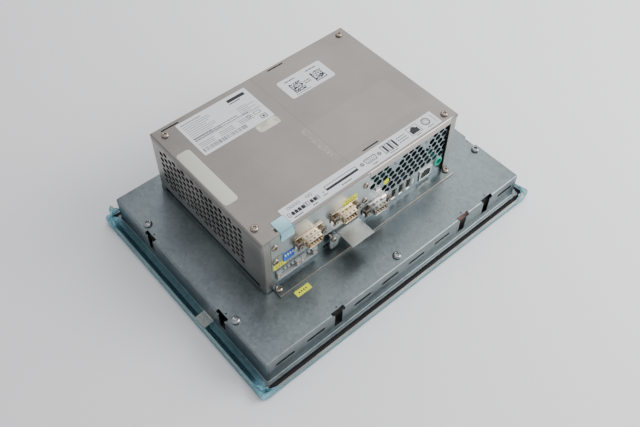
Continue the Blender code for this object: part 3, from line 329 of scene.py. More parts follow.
# Mesh building.
def ringPoints(halfX, halfY, radius, steps=8):
    points = []
    for turn, (sideX, sideY) in enumerate(((1, 1), (-1, 1), (-1, -1), (1, -1))):
        for step in range(steps + 1):
            angle = (turn + step / steps) * math.pi / 2
            points.append((sideX * (halfX - radius) + radius * math.cos(angle),
                           sideY * (halfY - radius) + radius * math.sin(angle)))
    return points


quarterTurn = [i / 5 * math.pi / 2 for i in range(6)]


def circle(radius, count=24, start=0.0):
    turns = [start + 2 * math.pi * i / count for i in range(count)]
    return [(radius * math.cos(a), radius * math.sin(a)) for a in turns]


def flat(outline, z, centre=(0, 0)):
    return [(centre[0] + x, centre[1] + y, z) for x, y in outline]


def standing(outline, y, centre):
    return [(centre[0] + x, y, centre[1] + z) for x, z in outline]


def skin(bm, rings, joined=False):
    loops = [[bm.verts.new(point) for point in ring] for ring in rings]
    pairs = list(zip(loops, loops[1:])) + ([(loops[-1], loops[0])] if joined else [])
    count = len(loops[0])
    for first, second in pairs:
        for i in range(count):
            j = (i + 1) % count
            bm.faces.new((first[i], first[j], second[j], second[i]))
    if not joined:
        bm.faces.new(loops[0])
        bm.faces.new(loops[-1])


def block(bm, low, high):
    size = Vector(high) - Vector(low)
    middle = (Vector(high) + Vector(low)) / 2
    bmesh.ops.create_cube(bm, size=1, matrix=Matrix.Translation(middle) @ Matrix.Diagonal((*size, 1)))


# A skin through upright outlines, each given with its place along Y.
def standUp(bm, centre, *rings):
    skin(bm, [standing(outline, y, centre) for outline, y in rings])


def asMesh(name, bm, smoothAngle=35):
    bmesh.ops.recalc_face_normals(bm, faces=bm.faces)
    mesh = bpy.data.meshes.new(name)
    bm.to_mesh(mesh)
    bm.free()
    smooth(mesh, smoothAngle)
    return newObject(name, mesh)


def smooth(mesh, angle):
    mesh.shade_smooth()
    mesh.set_sharp_from_angle(angle=math.radians(angle))


def skinned(name, rings, smoothAngle=35, joined=False):
    bm = bmesh.new()
    skin(bm, rings, joined=joined)
    return asMesh(name, bm, smoothAngle)


def blocksOf(name, boxes):
    bm = bmesh.new()
    for low, high in boxes:
        block(bm, low, high)
    return asMesh(name, bm)


# An object's mesh as a bmesh, with the object removed.
def takenMesh(obj):
    bm = bmesh.new()
    bm.from_mesh(obj.data)
    bpy.data.objects.remove(obj)
    return bm


def nodesOf(kind, count):
    return [f"{kind}_{i}" for i in range(1, count + 1)]


# A node's lowest and highest corner, and its middle.
def boxOf(node):
    low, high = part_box(node)
    return low, high, (low + high) / 2


def rounded(obj, width, segments=2):
    bevel = obj.modifiers.new("edges", "BEVEL")
    bevel.width = width
    bevel.segments = segments
    bevel.limit_method = "ANGLE"
    bevel.angle_limit = math.radians(40)
    bevel.harden_normals = True
    return obj


# Gives a finished object its material and body, and hides the nodes that it stands for.
def place(obj, material, slot, stands=(), body=case):
    obj.data.materials.clear()
    obj.data.materials.append(material)
    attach(obj, body)
    if stands:
        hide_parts(*([stands] if isinstance(stands, str) else stands))
    return obj


def baked(obj, name):
    bpy.context.view_layer.update()
    graph = bpy.context.evaluated_depsgraph_get()
    mesh = bpy.data.meshes.new_from_object(obj.evaluated_get(graph))
    mesh.transform(obj.matrix_world)
    made = newObject(name, mesh)
    bpy.data.objects.remove(obj)
    return made


# A flat curve through closed outlines.
def outlineCurve(name, outlines, fillMode):
    curve = bpy.data.curves.new(name, "CURVE")
    curve.dimensions = "2D"
    curve.fill_mode = fillMode
    for points in outlines:
        spline = curve.splines.new("POLY")
        spline.points.add(len(points) - 1)
        for point, (x, y) in zip(spline.points, points):
            point.co = (x, y, 0, 1)
        spline.use_cyclic_u = True
    return newObject(name, curve)


# A flat sheet from an outline and its holes, with its cut edges slightly rounded.
def sheet(name, outline, holes, thickness, edge=0.12 * mm):
    obj = outlineCurve(name + "Curve", [outline] + holes, "BOTH")
    obj.data.extrude = thickness / 2 - edge
    obj.data.bevel_depth = edge
    obj.data.bevel_resolution = 1
    obj.data.offset = -edge
    made = baked(obj, name)
    bm = bmesh.new()
    bm.from_mesh(made.data)
    bmesh.ops.remove_doubles(bm, verts=bm.verts, dist=1e-6)
    bm.to_mesh(made.data)
    bm.free()
    smooth(made.data, 50)
    return made


# Keeps flat faces flat in shade and the bends between them smooth.
def evenShading(obj):
    obj.modifiers.new("shading", "WEIGHTED_NORMAL").keep_sharp = True
    return obj


def turned(obj, matrix):
    obj.data.transform(matrix)
    obj.data.update()
    return obj


def facingFront(obj, front, thickness):
    stand = Matrix.Rotation(math.pi / 2, 4, "X")
    return turned(obj, Matrix.Translation((0, front + thickness / 2, 0)) @ stand)


def cutOut(obj, bm):
    cutter = asMesh(obj.name + "Cutter", bm)
    modifier = obj.modifiers.new("cuts", "BOOLEAN")
    modifier.operation = "DIFFERENCE"
    modifier.use_self = True
    modifier.object = cutter
    made = baked(obj, obj.name + "Cut")
    bpy.data.objects.remove(cutter)
    return made


def rect(left, low, right, high):
    return [(left, low), (right, low), (right, high), (left, high)]


def shifted(outline, x, y, scale=1.0):
    return [(x + a * scale, y + b * scale) for a, b in outline]


def roundRect(left, low, right, high, radius, steps=5):
    middle = ((left + right) / 2, (low + high) / 2)
    return shifted(ringPoints((right - left) / 2, (high - low) / 2, radius, steps), *middle)


def slotShape(x, y, length, width, steps=6):
    return shifted(ringPoints(length / 2, width / 2, width / 2 - 0.01 * mm, steps), x, y)


# Front: film, bezel, gasket.
bezelLow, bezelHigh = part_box("front_bezel")
bezelHalf = (bezelHigh.x, bezelHigh.y)
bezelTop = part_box("panel_gasket")[0].z + 1.2 * mm
bezelCorner = 6 * mm


def frameRing(half, corner, inset, z, steps=10):
    return flat(ringPoints(half[0] - inset, half[1] - inset, max(corner - inset, 0.5 * mm), steps), z)


# A thin strip's section: a path with its thickness laid half to each side.
def ribbonSides(path, thick):
    points = [Vector(p) for p in path]
    near, far = [], []
    for i, point in enumerate(points):
        along = (points[min(i + 1, len(points) - 1)] - points[max(i - 1, 0)]).normalized()
        side = Vector((-along.y, along.x)) * thick / 2
        near.append(point + side)
        far.append(point - side)
    return near, far


def makeBezel():
    settings = {"window": (125 * mm, 94 * mm), "land": 6.3 * mm, "edge": 0.8 * mm, "seat": 2.3 * mm,
                "post": 3.4 * mm, "bore": 2.2 * mm}
    low = bezelLow.z
    windowHalf = settings["window"]
    edge = settings["edge"]

    def window(grow, z):
        return flat(ringPoints(windowHalf[0] + grow, windowHalf[1] + grow, 1 * mm, 10), z)

    turns = (0, 0.5, 1.05, math.pi / 2)
    rings = [frameRing(bezelHalf, bezelCorner, edge * (1 - math.sin(a)), low + edge * (1 - math.cos(a)))
             for a in turns]
    rings += [frameRing(bezelHalf, bezelCorner, edge / 2 * (1 - math.cos(a)),
                        bezelTop - edge / 2 * (1 - math.sin(a)))
              for a in turns]
    seat = low + settings["seat"]
    rings += [window(0, bezelTop), window(0, seat), window(settings["land"], seat),
              window(settings["land"], low)]
    bm = bmesh.new()
    skin(bm, rings, joined=True)
    postTop = bezelHigh.z
    post, bore = settings["post"], settings["bore"]
    for node in nodesOf("tray_screw", 6):
        middle = boxOf(node)[2]
        profile = [(3.9 * mm, bezelTop - 0.2 * mm), (post, bezelTop + 1 * mm), (post, postTop - 0.4 * mm)]
        profile += [(3 * mm, postTop), (bore, postTop), (bore, postTop - 6 * mm)]
        skin(bm, [flat(circle(r, 20), z, (middle.x, middle.y)) for r, z in profile])
    place(evenShading(asMesh("bezel", bm)), metals["bezel"], "bezel_aluminium", "front_bezel")


def makeGasket():
    low, high, middle = boxOf("panel_gasket")
    width = 3.6 * mm
    section = [(0, low.z), (0, high.z - 0.9 * mm), (0.25 * mm, high.z - 0.35 * mm), (0.8 * mm, high.z)]
    section += [(width - a, z) for a, z in reversed(section)]
    rings = [frameRing((high.x, high.y), bezelCorner + 0.5 * mm, inset, z) for inset, z in section]
    place(skinned("gasket", rings, joined=True), plastics["rubber"], "gasket_rubber", "panel_gasket")


# A film's mesh with its wall, and how far it gathers at each point.
def asFilm(name, bm, smoothAngle, gathers, offset, stands=()):
    film = asMesh(name, bm, smoothAngle)
    gather = film.data.attributes.new("gather", "FLOAT", "POINT")
    gather.data.foreach_set("value", gathers)
    wall = film.modifiers.new("wall", "SOLIDIFY")
    wall.thickness = 0.06 * mm
    wall.offset = offset
    place(film, films["film"], "film_blue", stands)


def makeFilm():
    settings = {
        "lap": {"left": 11.4 * mm, "front": 0.5 * mm, "right": 1 * mm, "back": 1 * mm},
        "stand": 0.35 * mm,
        "crumple": 0.22 * mm,
        "cornerCrumple": 1.5 * mm,
        "spacing": 4 * mm,
    }
    half = (bezelHalf[0] + settings["stand"], bezelHalf[1] + settings["stand"])
    limit = (cadHigh.x - 0.1 * mm, cadHigh.y - 0.1 * mm)
    corner = bezelCorner + settings["stand"]

    # The outline with its straight sides divided, as places and outward directions.
    outline = []
    raw = ringPoints(half[0], half[1], corner, 8)
    for (x, y), (nextX, nextY) in zip(raw, raw[1:] + raw[:1]):
        parts = max(1, round(math.hypot(nextX - x, nextY - y) / settings["spacing"]))
        for i in range(parts):
            outline.append(Vector((x + (nextX - x) * i / parts, y + (nextY - y) * i / parts)))

    def lapAt(point):
        lap = settings["lap"]
        width = {"left": half[0] + point.x, "right": half[0] - point.x,
                 "front": half[1] + point.y, "back": half[1] - point.y}
        total = sum(math.exp(-d / (6 * mm)) for d in width.values())
        return sum(lap[side] * math.exp(-d / (6 * mm)) for side, d in width.items()) / total

    def nearCorner(point):
        reach = math.hypot(half[0] - abs(point.x), half[1] - abs(point.y))
        return math.exp(-((reach / (15 * mm)) ** 2))

    top = bezelTop + 0.35 * mm
    profile = [(60 * mm, 0.15 * mm, 0), (6 * mm, 0.15 * mm, 0), (1 * mm, 0.2 * mm, 0), (0, 1 * mm, 0.3)]
    profile += [(0, 2.6 * mm, 0.8), (0, 4.2 * mm, 1), (0.1 * mm, top - 0.5 * mm, 1)]
    rings = [[(point, inset, z, loose) for point in outline] for inset, z, loose in profile]
    for reach, lift in ((0.5, 0.1), (1.4, 0.5), (2.2, 1.25), (3.6, 1.35), (5.4, 1.35), (7.2, 1.55),
                        (9, 1.6), (11.4, 1.7)):
        rings.append([(point, min(reach * mm, lapAt(point)), top + lift * mm, 1) for point in outline])
    bm = bmesh.new()
    loops = []
    gathers = []
    for level, ring in enumerate(rings):
        loop = []
        for point, inset, z, loose in ring:
            inner = Vector((max(-half[0] + inset, min(half[0] - inset, point.x)),
                            max(-half[1] + inset, min(half[1] - inset, point.y))))
            swing = noise.noise_vector(Vector((point.x * 70, point.y * 70, level * 0.35)))
            small = noise.noise_vector(Vector((point.x * 260, point.y * 260, level * 0.9 + 7)))
            size = loose * (settings["crumple"] + settings["cornerCrumple"] * nearCorner(point))
            shift = (swing + 0.4 * small) * size
            shift.z = abs(shift.z)
            outward = Vector((point.x / half[0], point.y / half[1])) * nearCorner(point) * loose * 1.1 * mm
            height = z + shift.z + nearCorner(point) * loose * 1.2 * mm
            x = max(-limit[0], min(limit[0], inner.x + shift.x * 0.6 + outward.x))
            y = max(-limit[1], min(limit[1], inner.y + shift.y * 0.6 + outward.y))
            loop.append(bm.verts.new((x, y, max(0.12 * mm, height))))
            # Painted sheen: the film's wall along the bezel's edge counts as a little gathered, so it is
            # drawn paler.
            rim = 0.16 if 2 <= level <= 6 else 0
            gathers.append(min(1.0, loose * (rim + nearCorner(point))))
        loops.append(loop)
    count = len(outline)
    for first, second in zip(loops, loops[1:]):
        for i in range(count):
            j = (i + 1) % count
            bm.faces.new((first[i], first[j], second[j], second[i]))
    bm.faces.new(loops[0])
    asFilm("protectiveFilm", bm, 60, gathers, 1, "protective_film")


# Loose film that stands up where it gathers round a corner.
def makeTufts():
    settings = {"reach": 15 * mm, "foot": bezelTop + 0.9 * mm, "inset": 1.4 * mm, "across": 34, "up": 9,
                "crumple": 2.6 * mm, "bend": 3 * mm}
    corners = {"backLeft": (-1, 1, 17 * mm), "frontLeft": (-1, -1, 6.5 * mm), "frontRight": (1, -1, 9 * mm)}
    reach = settings["reach"]
    inset = settings["inset"]
    limit = (cadHigh.x - 0.12 * mm, cadHigh.y - 0.12 * mm)
    for number, (name, (sideX, sideY, height)) in enumerate(corners.items()):
        bm = bmesh.new()
        rows = []
        for j in range(settings["up"] + 1):
            v = j / settings["up"]
            row = []
            for i in range(settings["across"] + 1):
                u = 2 * i / settings["across"] - 1
                alongX = max(0, -u) * reach + settings["bend"] * (1 - abs(u)) ** 2
                alongY = max(0, u) * reach + settings["bend"] * (1 - abs(u)) ** 2
                top = height * (1 - abs(u) ** 1.8) * (0.85 + 0.15 * math.cos(u * 5 + number))
                seed = Vector((u * 2.6 + number * 5, v * 0.9, number * 3.1))
                shift = noise.noise_vector(seed * 1.6) + 0.5 * noise.noise_vector(seed * 4.3)
                pull = settings["crumple"] * v * (1 - abs(u) ** 3)
                x = bezelHalf[0] - inset - alongX + (shift.x - 0.3) * pull
                y = bezelHalf[1] - inset - alongY + (shift.y - 0.3) * pull
                z = settings["foot"] + v * max(top, 0.5 * mm) + abs(shift.z) * 0.4 * pull
                row.append(bm.verts.new((sideX * min(x, limit[0]), sideY * min(y, limit[1]), z)))
            rows.append(row)
        for low, high in zip(rows, rows[1:]):
            for i in range(settings["across"]):
                bm.faces.new((low[i], low[i + 1], high[i + 1], high[i]))
        asFilm(name + "Tuft", bm, 70, [1.0] * len(bm.verts), 0)


makeBezel()
makeGasket()
makeFilm()
makeTufts()
print("front made")


# Mounting tray.
trayLow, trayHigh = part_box("mounting_tray")
trayTop = trayHigh.z
trayHalf = (153.2 * mm, 111.9 * mm)
flangeHalf = (trayHigh.x, trayHigh.y)
clampPlaces = [((x, side * trayHalf[1]), (0, side)) for side in (-1, 1)
               for x in (-75.8 * mm, 77.1 * mm, 109.2 * mm)]
clampPlaces += [((side * trayHalf[0], y), (side, 0)) for side in (-1, 1) for y in (-51.4 * mm, 55.5 * mm)]


def makeTray():
    settings = {
        "sheet": 1.2 * mm,
        "bend": 1.6 * mm,
        "fillet": 1 * mm,
        "corner": 0.6 * mm,
        "headWidth": 13.8 * mm,
        "stemWidth": 8.5 * mm,
        "headDrop": 3.7 * mm,
        "headReach": 3 * mm,
        "stemFoot": 13 * mm,
        "ventLength": 19.8 * mm,
        "ventWidth": 3.7 * mm,
        "ventHeight": 24.4 * mm,
        "vents": [-133.9, -101.2, -48.2, -15.5, 16.9, 50.1, 135.9],
        "peg": 0.75 * mm,
        "seam": 0.32 * mm,
        "seamInset": 1.9 * mm,
        "foilWidth": 13 * mm,
        "foilInset": 2.2 * mm,
    }
    sheetThick = settings["sheet"]
    bend = settings["bend"]
    low = trayLow.z
    flangeTop = low + sheetThick
    corner = settings["corner"]

    def wallRing(inset, z):
        return frameRing(trayHalf, corner + 1 * mm, inset, z)

    rings = [wallRing(bend * (1 - math.sin(a)), trayTop - bend * (1 - math.cos(a))) for a in quarterTurn]
    fillet = settings["fillet"]
    rings += [wallRing(-fillet * (1 - math.cos(a)), flangeTop + fillet * (1 - math.sin(a)))
              for a in quarterTurn]
    rings += [frameRing(flangeHalf, bezelCorner, 0.15 * mm, flangeTop),
              frameRing(flangeHalf, bezelCorner, 0, flangeTop - 0.15 * mm)]
    rings += [frameRing(flangeHalf, bezelCorner, 0, low)]
    inner = trayTop - sheetThick
    rings.append(wallRing(sheetThick, low))
    rings += [wallRing(sheetThick + 0.5 * mm * (1 - math.cos(a)), inner - 0.5 * mm * (1 - math.sin(a)))
              for a in quarterTurn]
    tray = skinned("mountingTray", rings)

    cuts = bmesh.new()
    for (x, y), (wayX, wayY) in clampPlaces:
        along = Vector((-wayY, wayX))
        out = Vector((wayX, wayY))
        for halfWidth, reach, bottom, height in (
            (settings["headWidth"] / 2, settings["headReach"], trayTop - settings["headDrop"],
             trayTop + 1 * mm),
            (settings["stemWidth"] / 2, sheetThick + 0.8 * mm, settings["stemFoot"],
             trayTop - settings["headDrop"] + 0.1 * mm),
        ):
            first = Vector((x, y)) - out * reach - along * halfWidth
            second = Vector((x, y)) + out * 1.5 * mm + along * halfWidth
            block(cuts, (min(first.x, second.x), min(first.y, second.y), bottom),
                  (max(first.x, second.x), max(first.y, second.y), height))
        peg = Vector((x, y)) - out * 4.9 * mm + along * 1 * mm
        skin(cuts, [flat(circle(settings["peg"], 12), z, peg) for z in (inner - 1 * mm, trayTop + 1 * mm)])
    for x in settings["vents"]:
        shape = slotShape(x * mm, settings["ventHeight"], settings["ventLength"], settings["ventWidth"])
        for side in (-1, 1):
            edges = sorted((side * (trayHalf[1] - 2.4 * mm), side * (trayHalf[1] + 1 * mm)))
            skin(cuts, [[(a, y, z) for a, z in shape] for y in edges])
    tray = cutOut(tray, cuts)
    tray.name = "tray"
    smooth(tray.data, 35)
    place(evenShading(rounded(tray, 0.12 * mm, 1)), metals["tray"], "zinc_sheet", "mounting_tray")

    # Painted shade: a black strip in the open seam beside each folded corner, for the shade inside the gap;
    # and the foil behind one clamp slot.
    seamHalf = settings["seam"] / 2
    seamShades = []
    for sideX in (-1, 1):
        for sideY in (-1, 1):
            x = sideX * (trayHalf[0] - settings["seamInset"])
            edges = sorted((sideY * (trayHalf[1] - 0.2 * mm), sideY * (trayHalf[1] + 0.03 * mm)))
            seamShades.append(((x - seamHalf, edges[0], flangeTop + 1.4 * mm),
                          (x + seamHalf, edges[1], trayTop - 1.5 * mm)))
    place(blocksOf("traySeams", seamShades), plastics["black"], "socket_black")
    x, y = clampPlaces[1][0]
    halfWidth = settings["foilWidth"] / 2
    behind = y + settings["foilInset"]
    foil = ((x - halfWidth, behind, trayTop - 5 * mm),
            (x + halfWidth, behind + 0.1 * mm, trayTop - 1.3 * mm))
    place(blocksOf("slotFoil", [foil]), plastics["rust"], "socket_black")


makeTray()
print("tray made")


# Computer box.
coverLow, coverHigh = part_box("top_cover")
boxLeft, boxRight = coverLow.x, coverHigh.x
boxFront, boxBack, boxTop = coverLow.y, coverHigh.y, coverHigh.z
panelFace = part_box("io_panel")[0].y
thin = 1 * mm


# A length of folded sheet: a section of (across, up) points run from one place to another.
def foldedStrip(bm, section, start, end, across, up):
    rings = [[Vector(at) + Vector(across) * a + Vector(up) * b for a, b in section] for at in (start, end)]
    skin(bm, rings)


def lipSection(drop, radius=1.2 * mm):
    outer = [(radius * (1 - math.sin(a)), -radius * (1 - math.cos(a))) for a in quarterTurn]
    bend = radius - thin
    inner = [(thin + bend * (1 - math.sin(a)), -thin - bend * (1 - math.cos(a)))
             for a in reversed(quarterTurn)]
    return outer + [(0, 0.15 * mm - drop), (0.15 * mm, -drop), (thin - 0.1 * mm, -drop),
                    (thin, 0.1 * mm - drop)] + inner


def makeCover():
    settings = {
        "bend": 1.2 * mm,
        "sideLip": 4 * mm,
        "frontLip": 7.4 * mm,
        "frontLipLeft": boxLeft + 115.5 * mm,
        "frontLipRight": boxRight - 8.2 * mm,
        "slits": [(boxLeft + 18.1 * mm, boxBack - 4.5 * mm), (boxLeft + 136.3 * mm, boxBack - 3.6 * mm),
                  (boxLeft + 135.7 * mm, boxFront + 22.4 * mm)],
        "slitSize": (18.3 * mm, 1.4 * mm),
    }
    bend = settings["bend"]
    lipLeft, lipRight = settings["frontLipLeft"], settings["frontLipRight"]
    front = boxFront + 0.05 * mm
    outline = [(boxLeft + bend, front), (lipLeft, front), (lipLeft, boxFront + bend),
               (lipRight, boxFront + bend)]
    outline += [(lipRight, front), (boxRight - bend, front), (boxRight - bend, boxBack - bend)]
    outline.append((boxLeft + bend, boxBack - bend))
    holes = [slotShape(x, y, *settings["slitSize"]) for x, y in settings["slits"]]
    top = sheet("coverTop", outline, holes, thin, 0.05 * mm)
    turned(top, Matrix.Translation((0, 0, boxTop - thin / 2)))
    bm = takenMesh(top)
    side = lipSection(settings["sideLip"])
    back = boxBack - bend * 0.3
    left, right = boxLeft + bend * 0.3, boxRight - bend * 0.3
    for section, start, end, across in (
        (side, (boxLeft, front), (boxLeft, back), (1, 0, 0)),
        (side, (boxRight, front), (boxRight, back), (-1, 0, 0)),
        (side, (left, boxBack), (right, boxBack), (0, -1, 0)),
        (lipSection(settings["frontLip"]), (lipLeft, boxFront), (lipRight, boxFront), (0, 1, 0)),
    ):
        foldedStrip(bm, section, (*start, boxTop), (*end, boxTop), across, (0, 0, 1))
    place(evenShading(asMesh("cover", bm)), metals["cover"], "nickel_sheet", "top_cover")


def startTree(name, inputs):
    tree = bpy.data.node_groups.new(name, "GeometryNodeTree")
    for label, kind in inputs:
        tree.interface.new_socket(label, in_out="INPUT", socket_type="NodeSocket" + kind)
    tree.interface.new_socket("Geometry", in_out="OUTPUT", socket_type="NodeSocketGeometry")
    return tree, addNode(tree, "NodeGroupInput"), addNode(tree, "NodeGroupOutput")


# A new node whose first input comes from a given socket.
def follow(tree, kind, source, values=None, **settings):
    node = addNode(tree, kind, values, **settings)
    tree.links.new(source, node.inputs[0])
    return node


def finishTree(tree, last, given, result):
    real = follow(tree, "GeometryNodeRealizeInstances", last.outputs[0])
    painted = follow(tree, "GeometryNodeSetMaterial", real.outputs[0])
    link(tree, given, "Finish", painted, "Material")
    link(tree, painted, 0, result, 0)


# Pierces a sheet: the outline comes in as a curve, and rows of round holes are cut from it.
def piercingTree():
    tree, given, result = startTree("pierceSheet", [
        ("Geometry", "Geometry"), ("Hole Radius", "Float"), ("Pitch Along", "Float"), ("Pitch Up", "Float"),
        ("First Along", "Float"), ("First Up", "Float"), ("Thickness", "Float"), ("Columns", "Int"),
        ("Rows", "Int"), ("Finish", "Material")])
    outs = given.outputs

    def maths(operation, first, second=None):
        node = addNode(tree, "ShaderNodeMath", operation=operation)
        for socket, value in enumerate((first, second)):
            if isinstance(value, (int, float)):
                node.inputs[socket].default_value = value
            elif value is not None:
                tree.links.new(value, node.inputs[socket])
        return node.outputs[0]

    # Column by column, each odd column half a pitch lower and one hole shorter.
    total = maths("MULTIPLY", outs["Columns"], outs["Rows"])
    points = addNode(tree, "GeometryNodeMeshLine")
    tree.links.new(total, points.inputs["Count"])
    index = addNode(tree, "GeometryNodeInputIndex").outputs[0]
    column = maths("FLOOR", maths("DIVIDE", maths("ADD", index, 0.5), outs["Rows"]))
    row = maths("SUBTRACT", index, maths("MULTIPLY", column, outs["Rows"]))
    odd = maths("MODULO", column, 2)
    along = maths("ADD", outs["First Along"], maths("MULTIPLY", column, outs["Pitch Along"]))
    drop = maths("MULTIPLY", maths("ADD", row, maths("MULTIPLY", odd, 0.5)), outs["Pitch Up"])
    up = maths("SUBTRACT", outs["First Up"], drop)
    where = follow(tree, "ShaderNodeCombineXYZ", along)
    tree.links.new(up, where.inputs[1])
    setPlace = follow(tree, "GeometryNodeSetPosition", points.outputs[0])
    link(tree, where, 0, setPlace, "Position")
    lastOne = maths("SUBTRACT", outs["Rows"], 1.5)
    extra = maths("MULTIPLY", odd, maths("GREATER_THAN", row, lastOne))
    trim = follow(tree, "GeometryNodeDeleteGeometry", setPlace.outputs[0], domain="POINT")
    tree.links.new(extra, trim.inputs["Selection"])
    hole = addNode(tree, "GeometryNodeCurvePrimitiveCircle", {"Resolution": 14})
    tree.links.new(outs["Hole Radius"], hole.inputs["Radius"])
    copies = follow(tree, "GeometryNodeInstanceOnPoints", trim.outputs[0])
    link(tree, hole, 0, copies, "Instance")
    real = follow(tree, "GeometryNodeRealizeInstances", copies.outputs[0])
    joined = follow(tree, "GeometryNodeJoinGeometry", real.outputs[0])
    tree.links.new(outs["Geometry"], joined.inputs[0])
    fill = follow(tree, "GeometryNodeFillCurve", joined.outputs[0])
    raised = follow(tree, "GeometryNodeExtrudeMesh", fill.outputs[0], {"Individual": False})
    tree.links.new(outs["Thickness"], raised.inputs["Offset Scale"])
    under = follow(tree, "GeometryNodeFlipFaces", fill.outputs[0])
    whole = follow(tree, "GeometryNodeJoinGeometry", raised.outputs[0])
    link(tree, under, 0, whole, 0)
    merged = follow(tree, "GeometryNodeMergeByDistance", whole.outputs[0], {"Distance": 1e-6})
    finishTree(tree, merged, given, result)
    return tree


def withTree(obj, tree, values):
    modifier = obj.modifiers.new("nodes", "NODES")
    modifier.node_group = tree
    for item in tree.interface.items_tree:
        if item.in_out == "INPUT" and item.name in values:
            modifier[item.identifier] = values[item.name]
    return obj


pierce = piercingTree()


def makeSideWall(name, node, side, columns, firstColumn):
    settings = {"holeRadius": 2.75 * mm, "pitchAlong": 6.6 * mm, "pitchUp": 7.2 * mm, "rows": 7,
                "firstAlong": 30 * mm, "firstDrop": 10.1 * mm, "flange": 7.9 * mm, "bend": 1.5 * mm,
                "foot": 5.3 * mm, "coverDrop": 4.3 * mm}
    low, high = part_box(node)
    edge = low.x if side < 0 else high.x
    inward = -side
    wallTop = boxTop - settings["coverDrop"]
    bend = settings["bend"]
    reach = settings["flange"]
    foot = low.z + settings["foot"]
    # The wall hangs between two full-height strips, over an open gap.
    outline = [(boxFront + bend, low.z), (boxFront + reach, low.z), (boxFront + reach, foot),
               (boxBack - reach, foot), (boxBack - reach, low.z), (boxBack - bend, low.z),
               (boxBack - bend, wallTop), (boxFront + bend, wallTop)]
    obj = outlineCurve(name + "Outline", [outline], "NONE")
    withTree(obj, pierce, {
        "Hole Radius": settings["holeRadius"], "Pitch Along": settings["pitchAlong"],
        "Pitch Up": settings["pitchUp"],
        "First Along": boxFront + settings["firstAlong"] + firstColumn * settings["pitchAlong"],
        "First Up": boxTop - settings["firstDrop"], "Thickness": thin, "Columns": columns,
        "Rows": settings["rows"],
        "Finish": metals["wall"]})
    wall = baked(obj, name)
    # Local X and Y are the wall's Y and Z, and its thickness runs inwards.
    wall.data.transform(Matrix(((0, 0, inward, edge), (1, 0, 0, 0), (0, 1, 0, 0), (0, 0, 0, 1))))
    bm = takenMesh(wall)
    outer = [(bend * (1 - math.cos(a)), bend * (1 - math.sin(a))) for a in quarterTurn]
    inner = [(thin + (bend - thin) * (1 - math.cos(a)), thin + (bend - thin) * (1 - math.sin(a)))
             for a in reversed(quarterTurn)]
    section = outer + [(reach - 0.15 * mm, 0), (reach, 0.15 * mm), (reach, thin - 0.1 * mm),
                       (reach - 0.1 * mm, thin)]
    section += inner
    for at, way, top in ((boxFront, 1, high.z), (boxBack, -1, wallTop)):
        foldedStrip(bm, section, (edge, at, low.z), (edge, at, top), (inward, 0, 0), (0, way, 0))
    place(evenShading(asMesh(name, bm, 40)), metals["wall"], "nickel_sheet", node)


def makeBackPanel():
    low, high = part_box("back_panel")
    panel = sheet("backPanel", rect(low.x, low.z, high.x, high.z), [], thin)
    place(facingFront(panel, low.y, thin), metals["wall"], "nickel_sheet", "back_panel")


def makeBasePlate():
    settings = {"sheet": 1.5 * mm, "ledgeFront": 10.35 * mm, "ledgeLeft": 7.5 * mm, "ledgeRight": 3.1 * mm}
    low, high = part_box("base_plate")
    front = boxFront + 0.3 * mm
    left = low.x
    right = high.x
    outline = [(left, front), (left + settings["ledgeLeft"], front), (left + settings["ledgeLeft"], low.y)]
    outline += [(right - settings["ledgeRight"], low.y), (right - settings["ledgeRight"], front),
                (right, front)]
    outline += [(right, high.y), (left, high.y)]
    plate = sheet("basePlate", outline, [], settings["sheet"], 0.35 * mm)
    turned(plate, Matrix.Translation((0, 0, low.z + settings["sheet"] / 2)))
    bm = takenMesh(plate)
    for edge, way in ((left, 1), (right, -1)):
        x = sorted((edge + way * 2.6 * mm, edge + way * 3.6 * mm))
        block(bm, (x[0], boxFront + 8 * mm, low.z + 0.5 * mm), (x[1], boxBack - 8 * mm, high.z))
    place(evenShading(asMesh("base", bm)), metals["tray"], "zinc_sheet", "base_plate")
    # Painted highlight: a lighter strip along the sheared front edge, where it catches the light.
    top = low.z + settings["sheet"]
    strip = ((left + settings["ledgeLeft"] + 0.4 * mm, low.y - 0.05 * mm, top - 0.7 * mm),
             (right - settings["ledgeRight"] - 0.4 * mm, low.y + 0.75 * mm, top + 0.03 * mm))
    place(rounded(blocksOf("ledgeEdge", [strip]), 0.03 * mm, 1), metals["edge"], "zinc_sheet")


makeCover()
makeSideWall("leftWall", "left_side_panel", -1, 18, 0)
makeSideWall("rightWall", "right_side_panel", 1, 9, 4)
makeBackPanel()
makeBasePlate()
print("box made")

# Rows of screws, pins and standoffs: one prototype set on many points.
def copiesTree():
    tree, given, result = startTree("setOnPoints", [
        ("Geometry", "Geometry"), ("Prototype", "Object"), ("Finish", "Material")])
    source = follow(tree, "GeometryNodeObjectInfo", given.outputs["Prototype"])
    turns = addNode(tree, "GeometryNodeInputNamedAttribute", {"Name": "turn"}, data_type="FLOAT_VECTOR")
    copies = follow(tree, "GeometryNodeInstanceOnPoints", given.outputs["Geometry"])
    link(tree, source, "Geometry", copies, "Instance")
    link(tree, turns, "Attribute", copies, "Rotation")
    finishTree(tree, copies, given, result)
    return tree


setOnPoints = copiesTree()
outward = (math.pi / 2, 0, 0)


# Copies a prototype mesh to each (place, turn) and makes one piece of them all.
def setOut(name, prototype, places, material, slot, stands=()):
    bm = bmesh.new()
    for at, turn in places:
        bm.verts.new(at)
    mesh = bpy.data.meshes.new(name + "Points")
    bm.to_mesh(mesh)
    bm.free()
    turns = mesh.attributes.new("turn", "FLOAT_VECTOR", "POINT")
    for item, (at, turn) in zip(turns.data, places):
        item.vector = turn
    carrier = newObject(name + "Points", mesh)
    withTree(carrier, setOnPoints, {"Prototype": prototype, "Finish": material})
    made = baked(carrier, name)
    bpy.data.objects.remove(prototype)
    place(made, material, slot, stands)


